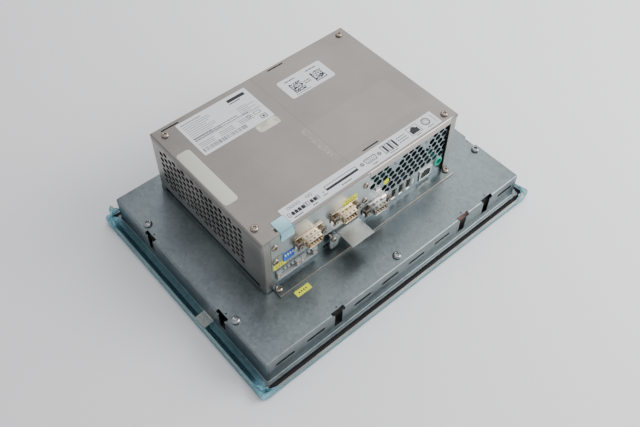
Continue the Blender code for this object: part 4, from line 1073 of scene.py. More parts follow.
def lathe(bm, profile, count=28, lobes=None):
    turns = [2 * math.pi * i / count for i in range(count)]
    rings = []
    for step, (radius, z) in enumerate(profile):
        wave = lobes if lobes and step >= lobes[0] else (0, 0, 0)
        reach = [radius * (1 + wave[1] * math.cos(wave[2] * a)) for a in turns]
        rings.append([(r * math.cos(a), r * math.sin(a), z) for r, a in zip(reach, turns)])
    skin(bm, rings)


# A pan-head screw along Z with its head on the XY plane, a six-lobed socket and a ridged shank.
def screwShape(headRadius, headHeight, shankRadius, shankLength, socket=0.46):
    bm = bmesh.new()
    pitch = 0.7 * mm
    shank = [(shankRadius * 0.75, -shankLength)]
    for i in range(int(shankLength / pitch)):
        z = -shankLength + (i + 0.3) * pitch
        shank += [(shankRadius, z), (shankRadius * 0.84, z + pitch / 2)]
    head = [(shankRadius, 0), (headRadius * 0.97, 0), (headRadius, headHeight * 0.12),
            (headRadius, headHeight * 0.32)]
    head += [(headRadius * 0.93, headHeight * 0.62), (headRadius * 0.78, headHeight * 0.86),
             (headRadius * 0.6, headHeight)]
    socketRadius = headRadius * socket
    recess = [(socketRadius * 1.12, headHeight), (socketRadius, headHeight * 0.93),
              (socketRadius * 0.92, headHeight * 0.3)]
    recess.append((socketRadius * 0.3, headHeight * 0.2))
    lathe(bm, shank + head + recess, 36, (len(shank) + len(head), 0.14, 6))
    return asMesh("screwShape", bm, 30)


def makeScrews():
    # Each kind's head radius and height, then its shank's radius and length.
    settings = {
        "small": (3.4 * mm, 1.9 * mm, 1.45 * mm, 5 * mm),
        "big": (4 * mm, 2.4 * mm, 1.85 * mm, 6.7 * mm),
        "guard": (2.7 * mm, 1.7 * mm, 1.15 * mm, 8 * mm),
        "plate": (3.3 * mm, 1.4 * mm, 1.4 * mm, 4 * mm),
        "turn": 0.4,
        "turnStep": 1.1,
        "plateAcross": (-99.8 * mm, -1 * mm),
        "plateUp": (92.5 * mm, 72.8 * mm),
    }

    def upward(kind, count, height):
        places = []
        for i, node in enumerate(nodesOf(kind, count)):
            low, high, middle = boxOf(node)
            places.append(((middle.x, middle.y, high.z - height),
                           (0, 0, settings["turn"] + settings["turnStep"] * i)))
        return places

    def screws(name, kind, places, metal, stands=()):
        setOut(name, screwShape(*settings[kind]), places, metals[metal], "screw_steel", stands)

    smallHeight, bigHeight, guardHeight = (settings[kind][1] for kind in ("small", "big", "guard"))
    places = upward("cover_screw", 4, smallHeight) + upward("ledge_screw", 3, smallHeight)
    screws("smallScrews", "small", places, "screw", nodesOf("cover_screw", 4) + nodesOf("ledge_screw", 3))
    screws("trayScrews", "big", upward("tray_screw", 6, bigHeight), "steel", nodesOf("tray_screw", 6))
    places = []
    for node in nodesOf("guard_screw", 2):
        low, high, middle = boxOf(node)
        places.append(((middle.x, low.y + guardHeight, middle.z), outward))
    screws("guardScrews", "guard", places, "screw", nodesOf("guard_screw", 2))
    places = [((x, boxFront - 0.05 * mm, z), outward) for x in settings["plateAcross"]
              for z in settings["plateUp"]]
    screws("optionScrews", "plate", places, "screw")


# Socket side.
def shellD(size, wall=0.0, corner=2.2 * mm):
    halfX = size[0] / 2 - wall
    halfZ = size[1] / 2 - wall
    slope = size[1] * math.tan(math.radians(10)) / 2
    points = []
    for x, z in ringPoints(halfX, halfZ, corner - wall * 0.5, 6):
        points.append((x - math.copysign(slope, x) * (halfZ - z) / (2 * halfZ), z))
    return points


def boxD(size, corner=0.9 * mm):
    return ringPoints(size[0] / 2, size[1] / 2, corner, 6)


def makeOptionPlate():
    settings = {"thickness": 1.2 * mm, "serialHole": (9.8 * mm, 5.4 * mm), "dipHole": 0.3 * mm,
                "resetRadius": 1.25 * mm}
    low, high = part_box("option_plate")
    half = settings["serialHole"]
    holes = []
    for node in nodesOf("serial_port", 2):
        at = boxOf(node)[2]
        holes.append(roundRect(at.x - half[0], at.z - half[1], at.x + half[0], at.z + half[1], 1 * mm))
    dipLow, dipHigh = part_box("dip_switch_body")
    grow = settings["dipHole"]
    holes.append(rect(dipLow.x - grow, dipLow.z - grow, dipHigh.x + grow, dipHigh.z + grow))
    at = boxOf("reset_button")[2]
    holes.append(shifted(circle(settings["resetRadius"], 20), at.x, at.z))
    plate = sheet("optionPlate", rect(low.x, low.z, high.x, high.z), holes, settings["thickness"],
                  0.15 * mm)
    plate = evenShading(facingFront(plate, low.y, settings["thickness"]))
    place(plate, metals["bright"], "bright_sheet", "option_plate")


def makeSerialPort(number, shellMetal, slotName):
    settings = {"flange": (30.8 * mm, 12.5 * mm), "shell": (17.9 * mm, 9.3 * mm),
                "mouth": (16.9 * mm, 8.4 * mm),
                "body": (19 * mm, 10 * mm), "reach": 9.6 * mm, "wall": 0.45 * mm, "dimplePitch": 4.3 * mm,
                "dimpleHalf": (0.95 * mm, 0.85 * mm, 0.05 * mm), "earHalf": (3.1 * mm, 4.7 * mm),
                "jackReach": 5.4 * mm, "jackSpan": 12.5 * mm, "jackRadius": 2.55 * mm, "jackBore": 1.1 * mm,
                "pinRadius": 0.5 * mm, "pinPitch": 2.77 * mm, "pinRow": 1.42 * mm}
    node = f"serial_port_{number}"
    low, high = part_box(node)
    centre = ((low.x + high.x) / 2, (low.z + high.z) / 2)
    front = low.y
    face = front + settings["reach"]
    plateBack = face - 0.3 * mm
    plateFront = plateBack - 1 * mm
    middle = plateFront - 3.6 * mm
    shell = settings["shell"]
    mouth = settings["mouth"]
    wall = settings["wall"]
    span = settings["jackSpan"]
    foot = shellD((shell[0] + 1.2 * mm, shell[1] + 1.2 * mm))
    rib = shellD((shell[0] + 1.1 * mm, shell[1] + 1.1 * mm))
    flange = boxD(settings["flange"], 1.6 * mm)
    rings = [(boxD(settings["body"]), high.y), (boxD(settings["body"]), plateBack), (flange, plateBack)]
    rings += [(flange, plateFront + 0.1 * mm), (boxD((30.6 * mm, 12.3 * mm), 1.5 * mm), plateFront)]
    rings += [(foot, plateFront), (shellD(shell), plateFront - 0.6 * mm), (shellD(shell), middle)]
    rings += [(rib, middle - 0.05 * mm), (rib, middle - 0.6 * mm), (shellD(mouth), middle - 1 * mm)]
    rings += [(shellD(mouth), front + 0.12 * mm), (shellD(mouth, wall * 0.3), front)]
    rings += [(shellD(mouth, wall * 0.8), front), (shellD(mouth, wall), front + 0.15 * mm)]
    rings.append((shellD(mouth, wall), middle + 0.5 * mm))
    bm = bmesh.new()
    standUp(bm, centre, *rings)
    place(asMesh(f"serialShell{number}", bm, 32), shellMetal, slotName, node)

    # Pressed dimples that grip a plug, along the top and the bottom of both halves, drawn as thin dark
    # patches: painted shade of their hollows.
    dimples = []
    half = Vector(settings["dimpleHalf"])
    for side in (-1, 1):
        for band, halfZ in ((middle + 1.7 * mm, shell[1] / 2), (middle - 3 * mm, mouth[1] / 2)):
            for i in range(3):
                at = Vector((centre[0] + (i - 1) * settings["dimplePitch"], band, centre[1] + side * halfZ))
                dimples.append((at - half, at + half))
    place(rounded(blocksOf(f"serialDimples{number}", dimples), 0.04 * mm, 1), metals["dark"], slotName)

    # The black moulding inside the shell, which the pins stand in.
    outline = shellD(mouth, wall + 0.08 * mm)
    moulding = [standing(outline, y, centre) for y in (middle + 0.45 * mm, middle - 1 * mm)]
    place(skinned(f"serialMoulding{number}", moulding), plastics["black"], "socket_black")

    # The ears' dark brown is the chromated steel's own colour with painted shade over it.
    earX, earZ = settings["earHalf"]
    ears = [((x - earX, middle - 0.5 * mm, centre[1] - earZ),
             (x + earX, middle + 0.6 * mm, centre[1] + earZ))
            for x in (centre[0] - span, centre[0] + span)]
    place(rounded(blocksOf(f"serialEars{number}", ears), 0.25 * mm, 2), metals["dark"], slotName)

    radius = settings["jackRadius"]
    length = settings["jackReach"]
    jack = [(radius, 0), (radius, length - 0.3 * mm), (radius * 0.86, length)]
    jack += [(settings["jackBore"], length), (settings["jackBore"], length - 3 * mm)]
    shape = skinned("jackShape", [flat(circle(r, 6, math.pi / 6), z) for r, z in jack], 30)
    places = [((centre[0] + side * span, plateFront, centre[1]), outward) for side in (-1, 1)]
    setOut(f"serialJackscrews{number}", shape, places, metals["screw"], "screw_steel")

    bm = bmesh.new()
    radius = settings["pinRadius"]
    lathe(bm, [(radius, 0), (radius, 5 * mm), (radius * 0.7, 5.5 * mm), (radius * 0.2, 5.7 * mm)], 10)
    pitch = settings["pinPitch"]
    places = [((centre[0] + (i - (count - 1) / 2) * pitch, middle, centre[1] + row * settings["pinRow"]),
               outward)
              for count, row in ((5, 1), (4, -1)) for i in range(count)]
    setOut(f"serialPins{number}", asMesh("pinShape", bm), places, metals["gold"], "gold_shell")


def makeDipSwitch():
    settings = {"slotWidth": 1.5 * mm, "slotHeight": 3.6 * mm, "slotTop": 1.2 * mm, "depth": 3 * mm,
                "pitch": 2.6 * mm, "edge": 0.35 * mm}
    low, high, middle = boxOf("dip_switch_body")
    edge = settings["edge"]
    outline = boxD((high.x - low.x, high.z - low.z), 0.5 * mm)
    smaller = boxD((high.x - low.x - edge, high.z - low.z - edge), 0.4 * mm)
    bm = bmesh.new()
    standUp(bm, (middle.x, middle.z), (outline, high.y), (outline, low.y + edge / 2), (smaller, low.y))
    body = asMesh("dipSwitch", bm)
    cuts = bmesh.new()
    top = high.z - settings["slotTop"]
    for i in range(4):
        x = middle.x + (i - 1.5) * settings["pitch"]
        block(cuts, (x - settings["slotWidth"] / 2, low.y - 1 * mm, top - settings["slotHeight"]),
              (x + settings["slotWidth"] / 2, low.y + settings["depth"], top))
    body = cutOut(body, cuts)
    body.name = "dipBody"
    place(body, plastics["blue"], "switch_blue", "dip_switch_body")
    for i, node in enumerate(nodesOf("dip_lever", 4)):
        leverLow, leverHigh, at = boxOf(node)
        size = leverHigh - leverLow
        tip = boxD((size.x, size.z), 0.15 * mm)
        neck = boxD((size.x - 0.25 * mm, size.z - 0.35 * mm), 0.15 * mm)
        lever = bmesh.new()
        standUp(lever, (at.x, at.z), (tip, leverHigh.y), (tip, leverLow.y + 0.3 * mm), (neck, leverLow.y))
        place(asMesh(f"dipLever{i + 1}", lever), plastics["white"], "switch_white", node, node)


def makeHeader(node, name, poles):
    settings = {"end": 4.6 * mm, "cavity": 7.5 * mm, "depth": 8.5 * mm, "insert": 1.5 * mm,
                "insertDepth": 4 * mm,
                "notch": 0.23, "notchDepth": 2.2 * mm}
    low, high, middle = boxOf(node)
    width = high.x - low.x
    centre = (middle.x, middle.z)
    span = width - 2 * settings["end"]
    outer = boxD((width, high.z - low.z), 0.5 * mm)
    chamfer = boxD((width - 0.4 * mm, high.z - low.z - 0.4 * mm), 0.4 * mm)
    inner = boxD((span, settings["cavity"]), 0.4 * mm)
    flare = boxD((span + 0.7 * mm, settings["cavity"] + 0.7 * mm), 0.5 * mm)
    bm = bmesh.new()
    standUp(bm, centre, (outer, high.y), (outer, low.y + 0.2 * mm), (chamfer, low.y), (flare, low.y),
            (inner, low.y + 0.4 * mm), (inner, low.y + settings["depth"]))
    body = asMesh(name + "Body", bm)
    # Keying notches between the poles along the shroud's upper wall.
    cuts = bmesh.new()
    pitch = span / poles
    start = middle.x - span / 2
    notch = pitch * settings["notch"]
    for i in range(poles):
        x = start + (i + 0.5) * pitch
        block(cuts, (x - notch, low.y - 1 * mm, middle.z + settings["cavity"] / 2 - 0.3 * mm),
              (x + notch, low.y + settings["notchDepth"], high.z + 1 * mm))
    insertDepth = low.y + settings["insertDepth"]
    ends = [middle.x + side * (width / 2 - settings["end"] / 2) for side in (-1, 1)]
    for x in ends:
        skin(cuts, [standing(circle(settings["insert"], 20), y, (x, middle.z))
                    for y in (low.y - 1 * mm, insertDepth)])
    body = cutOut(body, cuts)
    body.name = name
    smooth(body.data, 35)
    place(body, plastics["header"], "header_grey", node)
    ringShape = bmesh.new()
    radius = settings["insert"] - 0.03 * mm
    lathe(ringShape, [(radius, 0), (radius, 3.9 * mm), (radius * 0.75, 3.9 * mm), (radius * 0.62, 3.6 * mm),
                      (radius * 0.62, 0.6 * mm)], 20)
    places = [((x, insertDepth, middle.z), outward) for x in ends]
    setOut(name + "Inserts", asMesh("insertShape", ringShape), places, metals["brass"], "gold_shell")
    pin = blocksOf("pinShape", [((-0.5 * mm, -0.5 * mm, 0), (0.5 * mm, 0.5 * mm, 7 * mm))])
    places = [((start + (i + 0.5) * pitch, low.y + settings["depth"], middle.z), outward)
              for i in range(poles)]
    setOut(name + "Pins", pin, places, metals["steel"], "nickel_shell")


def makeUsbPorts():
    settings = {"mouth": (4.9 * mm, 12.8 * mm), "tongue": (1.8 * mm, 11 * mm), "shift": 1 * mm,
                "depth": 9 * mm,
                "contactPitch": 2.2 * mm}
    flare = boxD((settings["mouth"][0] + 0.6 * mm, settings["mouth"][1] + 0.6 * mm), 0.6 * mm)
    mouth = boxD(settings["mouth"], 0.5 * mm)
    tongue = [(x + settings["shift"], z) for x, z in boxD(settings["tongue"], 0.2 * mm)]
    for number, node in enumerate(nodesOf("usb_port", 3), 1):
        low, high, middle = boxOf(node)
        centre = (middle.x, middle.z)
        depth = low.y + settings["depth"]
        outer = boxD((high.x - low.x, high.z - low.z), 0.7 * mm)
        bm = bmesh.new()
        standUp(bm, centre, (outer, high.y), (outer, low.y + 0.15 * mm), (flare, low.y),
                (mouth, low.y + 0.5 * mm),
                (mouth, depth))
        place(asMesh(f"usbShell{number}", bm), metals["nickel"], "nickel_shell", node)
        bm = bmesh.new()
        standUp(bm, centre, (tongue, depth - 0.05 * mm), (tongue, low.y + 1 * mm))
        place(asMesh(f"usbTongue{number}", bm), plastics["black"], "socket_black")
        contact = blocksOf("contactShape", [((-0.06 * mm, -0.5 * mm, 0), (0.06 * mm, 0.5 * mm, 7 * mm))])
        x = middle.x + settings["shift"] - settings["tongue"][0] / 2 - 0.03 * mm
        places = [((x, depth, middle.z + (i - 1.5) * settings["contactPitch"]), outward) for i in range(4)]
        setOut(f"usbContacts{number}", contact, places, metals["gold"], "gold_shell")


def makeEthernetJack():
    settings = {"mouth": (11.9 * mm, 8.6 * mm), "key": (6.2 * mm, 1.6 * mm), "depth": 12 * mm,
                "contactPitch": 1.02 * mm}
    low, high, middle = boxOf("ethernet_jack")
    centre = (middle.x, middle.z)
    halfX, halfZ = settings["mouth"][0] / 2, settings["mouth"][1] / 2
    keyHalf, keyHigh = settings["key"][0] / 2, settings["key"][1]
    # A plug's outline: a rectangle with the latch's step over it.
    mouth = [(-halfX, -halfZ), (halfX, -halfZ), (halfX, halfZ), (keyHalf, halfZ),
             (keyHalf, halfZ + keyHigh),
             (-keyHalf, halfZ + keyHigh), (-keyHalf, halfZ), (-halfX, halfZ)]
    edge = (high.x - low.x) / 2, (high.z - low.z) / 2
    outer = [(-edge[0], -edge[1]), (edge[0], -edge[1]), (edge[0], halfZ), edge, (keyHalf, edge[1]),
             (-keyHalf, edge[1]), (-edge[0], edge[1]), (-edge[0], halfZ)]
    bm = bmesh.new()
    standUp(bm, centre, (outer, high.y), (outer, low.y), (mouth, low.y), (mouth, low.y + 0.6 * mm))
    place(rounded(asMesh("networkShell", bm), 0.12 * mm, 1), metals["nickel"], "nickel_shell",
          "ethernet_jack")
    liner = [(x * (1 - 0.05 * mm / halfX), z) for x, z in mouth]
    deep = [(x * 0.9, z * 0.92) for x, z in mouth]
    bm = bmesh.new()
    standUp(bm, centre, (liner, low.y + 0.55 * mm), (deep, low.y + 0.3 * mm),
            (deep, low.y + settings["depth"]))
    place(asMesh("networkLiner", bm), plastics["black"], "socket_black")
    contact = blocksOf("contactShape", [((-0.2 * mm, -0.1 * mm, 0), (0.2 * mm, 0.1 * mm, 8 * mm))])
    places = [((middle.x + (i - 3.5) * settings["contactPitch"], low.y + 10 * mm,
                middle.z - halfZ + 1.4 * mm), outward)
              for i in range(8)]
    setOut("networkContacts", contact, places, metals["gold"], "gold_shell")


def makeRoundSocket():
    settings = {"face": 4.6 * mm, "mouth": 3.6 * mm, "depth": 3.4 * mm, "pin": 0.45 * mm,
                "pinReach": 2.3 * mm}
    low, high, middle = boxOf("round_socket")
    centre = (middle.x, middle.z)
    outer = (high.x - low.x) / 2
    profile = [(outer, high.y), (outer, low.y + 0.7 * mm), (outer - 0.4 * mm, low.y + 0.25 * mm)]
    profile += [(settings["face"] + 0.1 * mm, low.y), (settings["mouth"], low.y),
                (settings["mouth"], low.y + settings["depth"])]
    body = skinned("roundSocketBody", [standing(circle(r, 36), y, centre) for r, y in profile])
    cuts = bmesh.new()
    for angle in (0.5, 1.5, 2.5, 3.6, 4.7, 5.7):
        at = (middle.x + settings["pinReach"] * math.cos(angle),
              middle.z + settings["pinReach"] * math.sin(angle))
        skin(cuts, [standing(circle(settings["pin"], 12), y, at)
                    for y in (low.y + settings["depth"] - 0.5 * mm, low.y + 7 * mm)])
    body = cutOut(body, cuts)
    body.name = "roundSocket"
    place(body, plastics["green"], "socket_green", "round_socket")
    wide, narrow = outer + 0.25 * mm, outer + 0.02 * mm
    profile = [(wide, 0.05 * mm), (wide, 0.5 * mm), (narrow, 0.5 * mm), (narrow, 0.05 * mm)]
    rim = skinned("roundSocketRim", [standing(circle(r, 36), panelFace - d, centre) for r, d in profile],
                  joined=True)
    place(rim, metals["nickel"], "nickel_shell")


def makeCardGuard():
    settings = {"sheet": 1 * mm, "archLeft": -33 * mm, "archRight": -17.4 * mm, "archTop": 52 * mm,
                "bend": 1.4 * mm,
                "shelfLeft": -34.6 * mm, "hole": 1.5 * mm, "stand": 5.2 * mm}
    low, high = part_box("card_guard")
    thick = settings["sheet"]
    face = panelFace - settings["stand"]
    archLeft, archRight, shelfLeft = settings["archLeft"], settings["archRight"], settings["shelfLeft"]
    top = high.z - settings["bend"]

    def halfRound(start, end, level, way):
        radius = (end - start) / 2
        turns = [math.pi * i / 14 for i in range(15)]
        return [(start + radius - radius * math.cos(a), level + way * radius * math.sin(a)) for a in turns]

    outline = halfRound(low.x, archLeft, low.z + (archLeft - low.x) / 2, -1)
    outline += halfRound(archLeft, archRight, settings["archTop"] - (archRight - archLeft) / 2, 1)
    outline += halfRound(archRight, high.x, low.z + (high.x - archRight) / 2, -1)
    outline += [(high.x, top), (shelfLeft, top), (shelfLeft - 0.4 * mm, high.z - 0.3 * mm)]
    outline += [(low.x + 0.6 * mm, high.z - 0.3 * mm), (low.x, high.z - 1 * mm)]
    middles = [boxOf(node)[2] for node in nodesOf("guard_screw", 2)]
    holes = [shifted(circle(settings["hole"], 20), at.x, at.z) for at in middles]
    bm = takenMesh(facingFront(sheet("guardLegs", outline, holes, thick, 0.12 * mm), face, thick))
    # The shelf runs forward from the top of the face, and back to the panel.
    section = [(low.y, high.z - thick), (low.y, high.z - 0.1 * mm), (low.y + 0.1 * mm, high.z)]
    section += [(high.y, high.z), (high.y, high.z - thick), (face + thick, high.z - thick),
                (face + thick, top - 0.2 * mm)]
    section += [(face, top - 0.2 * mm), (face - 0.25 * mm, high.z - thick - 0.15 * mm),
                (face - 0.6 * mm, high.z - thick)]
    skin(bm, [[(x, y, z) for y, z in section] for x in (shelfLeft, high.x)])
    place(evenShading(asMesh("cardGuard", bm)), metals["bright"], "bright_sheet", "card_guard")


def makeEarthLug():
    settings = {"thick": 0.8 * mm, "tip": 0.55}
    low, high, middle = boxOf("earth_lug")
    thick = settings["thick"]
    width = (high.x - low.x) / 2 - 0.02 * mm
    path = [(high.y - thick / 2, high.z), (high.y - thick / 2, high.z - 2.2 * mm),
            (high.y - 0.7 * mm, high.z - 3 * mm),
            (high.y - 1.6 * mm, high.z - 3.5 * mm), (low.y + 3.2 * mm, high.z - 4.1 * mm),
            (low.y + 1.6 * mm, high.z - 4.7 * mm),
            (low.y + 0.75 * mm, high.z - 5.6 * mm), (low.y + 0.45 * mm, low.z + 0.1 * mm)]
    rings = []
    for i, (near, far) in enumerate(zip(*ribbonSides(path, thick))):
        narrow = width * (settings["tip"] if i == len(path) - 1 else 1)
        rings.append([(middle.x - narrow, near.x, near.y), (middle.x + narrow, near.x, near.y),
                      (middle.x + narrow, far.x, far.y), (middle.x - narrow, far.x, far.y)])
    place(rounded(skinned("earthLug", rings, 45), 0.12 * mm, 2), metals["nickel"], "nickel_shell",
          "earth_lug")


def makeRivets():
    settings = {"firstAcross": 121.7, "pitch": 7.62, "columns": (3.5, 8.5), "up": 91.3 * mm}
    bm = bmesh.new()
    lathe(bm, [(1.9 * mm, 0), (1.8 * mm, 0.35 * mm), (1.2 * mm, 0.62 * mm), (0.75 * mm, 0.68 * mm),
               (0.7 * mm, 0.3 * mm)], 20)
    places = [((boxLeft + (settings["firstAcross"] + column * settings["pitch"]) * mm, panelFace,
                settings["up"]), outward)
              for column in settings["columns"]]
    setOut("blindRivets", asMesh("rivetShape", bm), places, metals["steel"], "screw_steel")


makeScrews()
makeOptionPlate()
for portNumber, shellName in ((1, "gold"), (2, "gold"), (3, "nickel")):
    makeSerialPort(portNumber, metals[shellName], f"{shellName}_shell")
makeDipSwitch()
makeHeader("supply_header", "supplyHeader", 4)
makeHeader("signal_header", "signalHeader", 2)
makeUsbPorts()
makeEthernetJack()
makeRoundSocket()
makeCardGuard()
makeEarthLug()
makeRivets()
print("socket side made")


# Labels, stickers, tape and printed signs.
def fill(bm, outline, low, high):
    skin(bm, [flat(outline, low), flat(outline, high)])


def frameOf(bm, outline, inner, low, high):
    skin(bm, [flat(outline, low), flat(outline, high), flat(inner, high), flat(inner, low)], joined=True)


labelTop = boxTop + 0.1 * mm
inkTop = labelTop + 0.03 * mm
inkFoot = labelTop - 0.02 * mm
lineGrowth = 1.4


def inkBox(bm, x, y, width, height):
    block(bm, (x - width / 2, y - height / 2, inkFoot), (x + width / 2, y + height / 2, inkTop))


def inkFrame(bm, x, y, width, height, line=0.5 * mm, corner=0.3 * mm):
    line *= lineGrowth
    inner = ringPoints(width / 2 - line, height / 2 - line, max(corner - line, 0.05 * mm), 3)
    frameOf(bm, shifted(ringPoints(width / 2, height / 2, corner, 3), x, y), shifted(inner, x, y), inkFoot,
            inkTop)


def inkRing(bm, x, y, radius, line=0.5 * mm):
    line *= lineGrowth
    frameOf(bm, shifted(circle(radius, 20), x, y), shifted(circle(radius - line, 20), x, y), inkFoot,
            inkTop)


def inkShape(bm, points, x, y, scale=1.0):
    fill(bm, shifted(points, x, y, scale * mm), inkFoot, inkTop)


# A line of short bars of uneven length, where a label has a line of print.
def inkLine(bm, x, y, width, height, dice):
    at = x
    while at < x + width:
        part = min(dice.uniform(1.6, 4.6) * height, x + width - at)
        if part > 0.3 * height:
            inkBox(bm, at + part / 2, y, part, height)
        at += part + 0.45 * height


def makeLabel(name, outline, material, slot, top=labelTop):
    bm = bmesh.new()
    fill(bm, outline, boxTop + 0.01 * mm, top)
    return place(asMesh(name, bm), material, slot)


def makeRatingLabel():
    settings = {"left": -90 * mm, "right": -14.9 * mm, "low": 44.5 * mm, "high": 90.1 * mm, "seed": 4}
    dice = random.Random(settings["seed"])
    left, right, low, high = (settings[key] for key in ("left", "right", "low", "high"))
    makeLabel("ratingLabel", roundRect(left, low, right, high, 1.2 * mm), plastics["paper"], "header_grey")
    bm = bmesh.new()
    inkLine(bm, left + 3 * mm, high - 4 * mm, 21 * mm, 0.9 * mm, dice)
    for i in range(9):
        inkLine(bm, left + 3 * mm, high - 7 * mm - i * 2.4 * mm, dice.uniform(18, 30) * mm, 0.55 * mm, dice)
    inkLine(bm, left + 3 * mm, low + 21 * mm, 46 * mm, 0.9 * mm, dice)
    inkLine(bm, left + 3 * mm, low + 18.4 * mm, 56 * mm, 0.8 * mm, dice)
    inkBox(bm, (left + right) / 2, low + 16.4 * mm, right - left - 5 * mm, 0.18 * mm)
    for row in range(3):
        for column in range(3):
            inkLine(bm, left + (3 + 21 * column) * mm, low + (13.9 - 2 * row) * mm, 15 * mm, 0.6 * mm, dice)
    # The bar code, and plain shapes where approval marks would stand.
    at = left + 2.5 * mm
    while at < left + 48 * mm:
        width = dice.choice((0.25, 0.25, 0.5, 0.75)) * mm
        inkBox(bm, at, low + 5.6 * mm, width, 4.6 * mm)
        at += width + dice.choice((0.3, 0.5, 0.8)) * mm
    inkFrame(bm, right - 10 * mm, low + 12.8 * mm, 7 * mm, 3.6 * mm, 0.4 * mm)
    inkRing(bm, right - 19.4 * mm, low + 12.8 * mm, 2 * mm, 0.4 * mm)
    inkFrame(bm, right - 8 * mm, low + 5.6 * mm, 6.4 * mm, 5 * mm, 0.5 * mm)
    inkBox(bm, right - 8 * mm, low + 5.6 * mm, 2.6 * mm, 2 * mm)
    for i in range(6):
        inkLine(bm, right - 22 * mm, high - 18 * mm - i * 2 * mm, 18 * mm * (0.6 + 0.4 * (i % 2)),
                0.5 * mm, dice)
    place(asMesh("ratingPrint", bm), plastics["inkGrey"], "socket_black")
    # A generic maker's block: one broad bar with a short one under it.
    bars = [((right - 23 * mm, high - 7.6 * mm, inkFoot), (right - 4 * mm, high - 3.8 * mm, inkTop)),
            ((right - 23 * mm, high - 10 * mm, inkFoot), (right - 11 * mm, high - 9 * mm, inkTop))]
    place(blocksOf("ratingBlock", bars), plastics["ink"], "socket_black")


def makeCodeLabel():
    settings = {"left": 10.1 * mm, "right": 61.3 * mm, "low": 48.6 * mm, "high": 74.5 * mm, "cells": 13,
                "seed": 9}
    dice = random.Random(settings["seed"])
    left, right, low, high = (settings[key] for key in ("left", "right", "low", "high"))
    makeLabel("codeLabel", roundRect(left, low, right, high, 2.5 * mm), plastics["paper"], "header_grey")
    bm = bmesh.new()
    count = settings["cells"]
    for start in (left + 7.4 * mm, left + 32.1 * mm):
        cell = 12.6 * mm / count
        bottom = low + 4.3 * mm
        for column in range(count):
            for row in range(count):
                edge = column == 0 or row == 0
                if edge or dice.random() < 0.46:
                    x = start + (column + 0.5) * cell
                    y = bottom + (row + 0.5) * cell
                    inkBox(bm, x, y, cell * 1.02, cell * 1.02)
        inkLine(bm, start - 0.5 * mm, high - 4.4 * mm, 12 * mm, 1.1 * mm, dice)
    inkLine(bm, left + 21.5 * mm, low + 12 * mm, 7.5 * mm, 1 * mm, dice)
    inkLine(bm, left + 21.5 * mm, low + 9.4 * mm, 7.5 * mm, 1 * mm, dice)
    inkLine(bm, left + 6 * mm, low + 2.3 * mm, 17 * mm, 0.7 * mm, dice)
    place(asMesh("codePrint", bm), plastics["ink"], "socket_black")


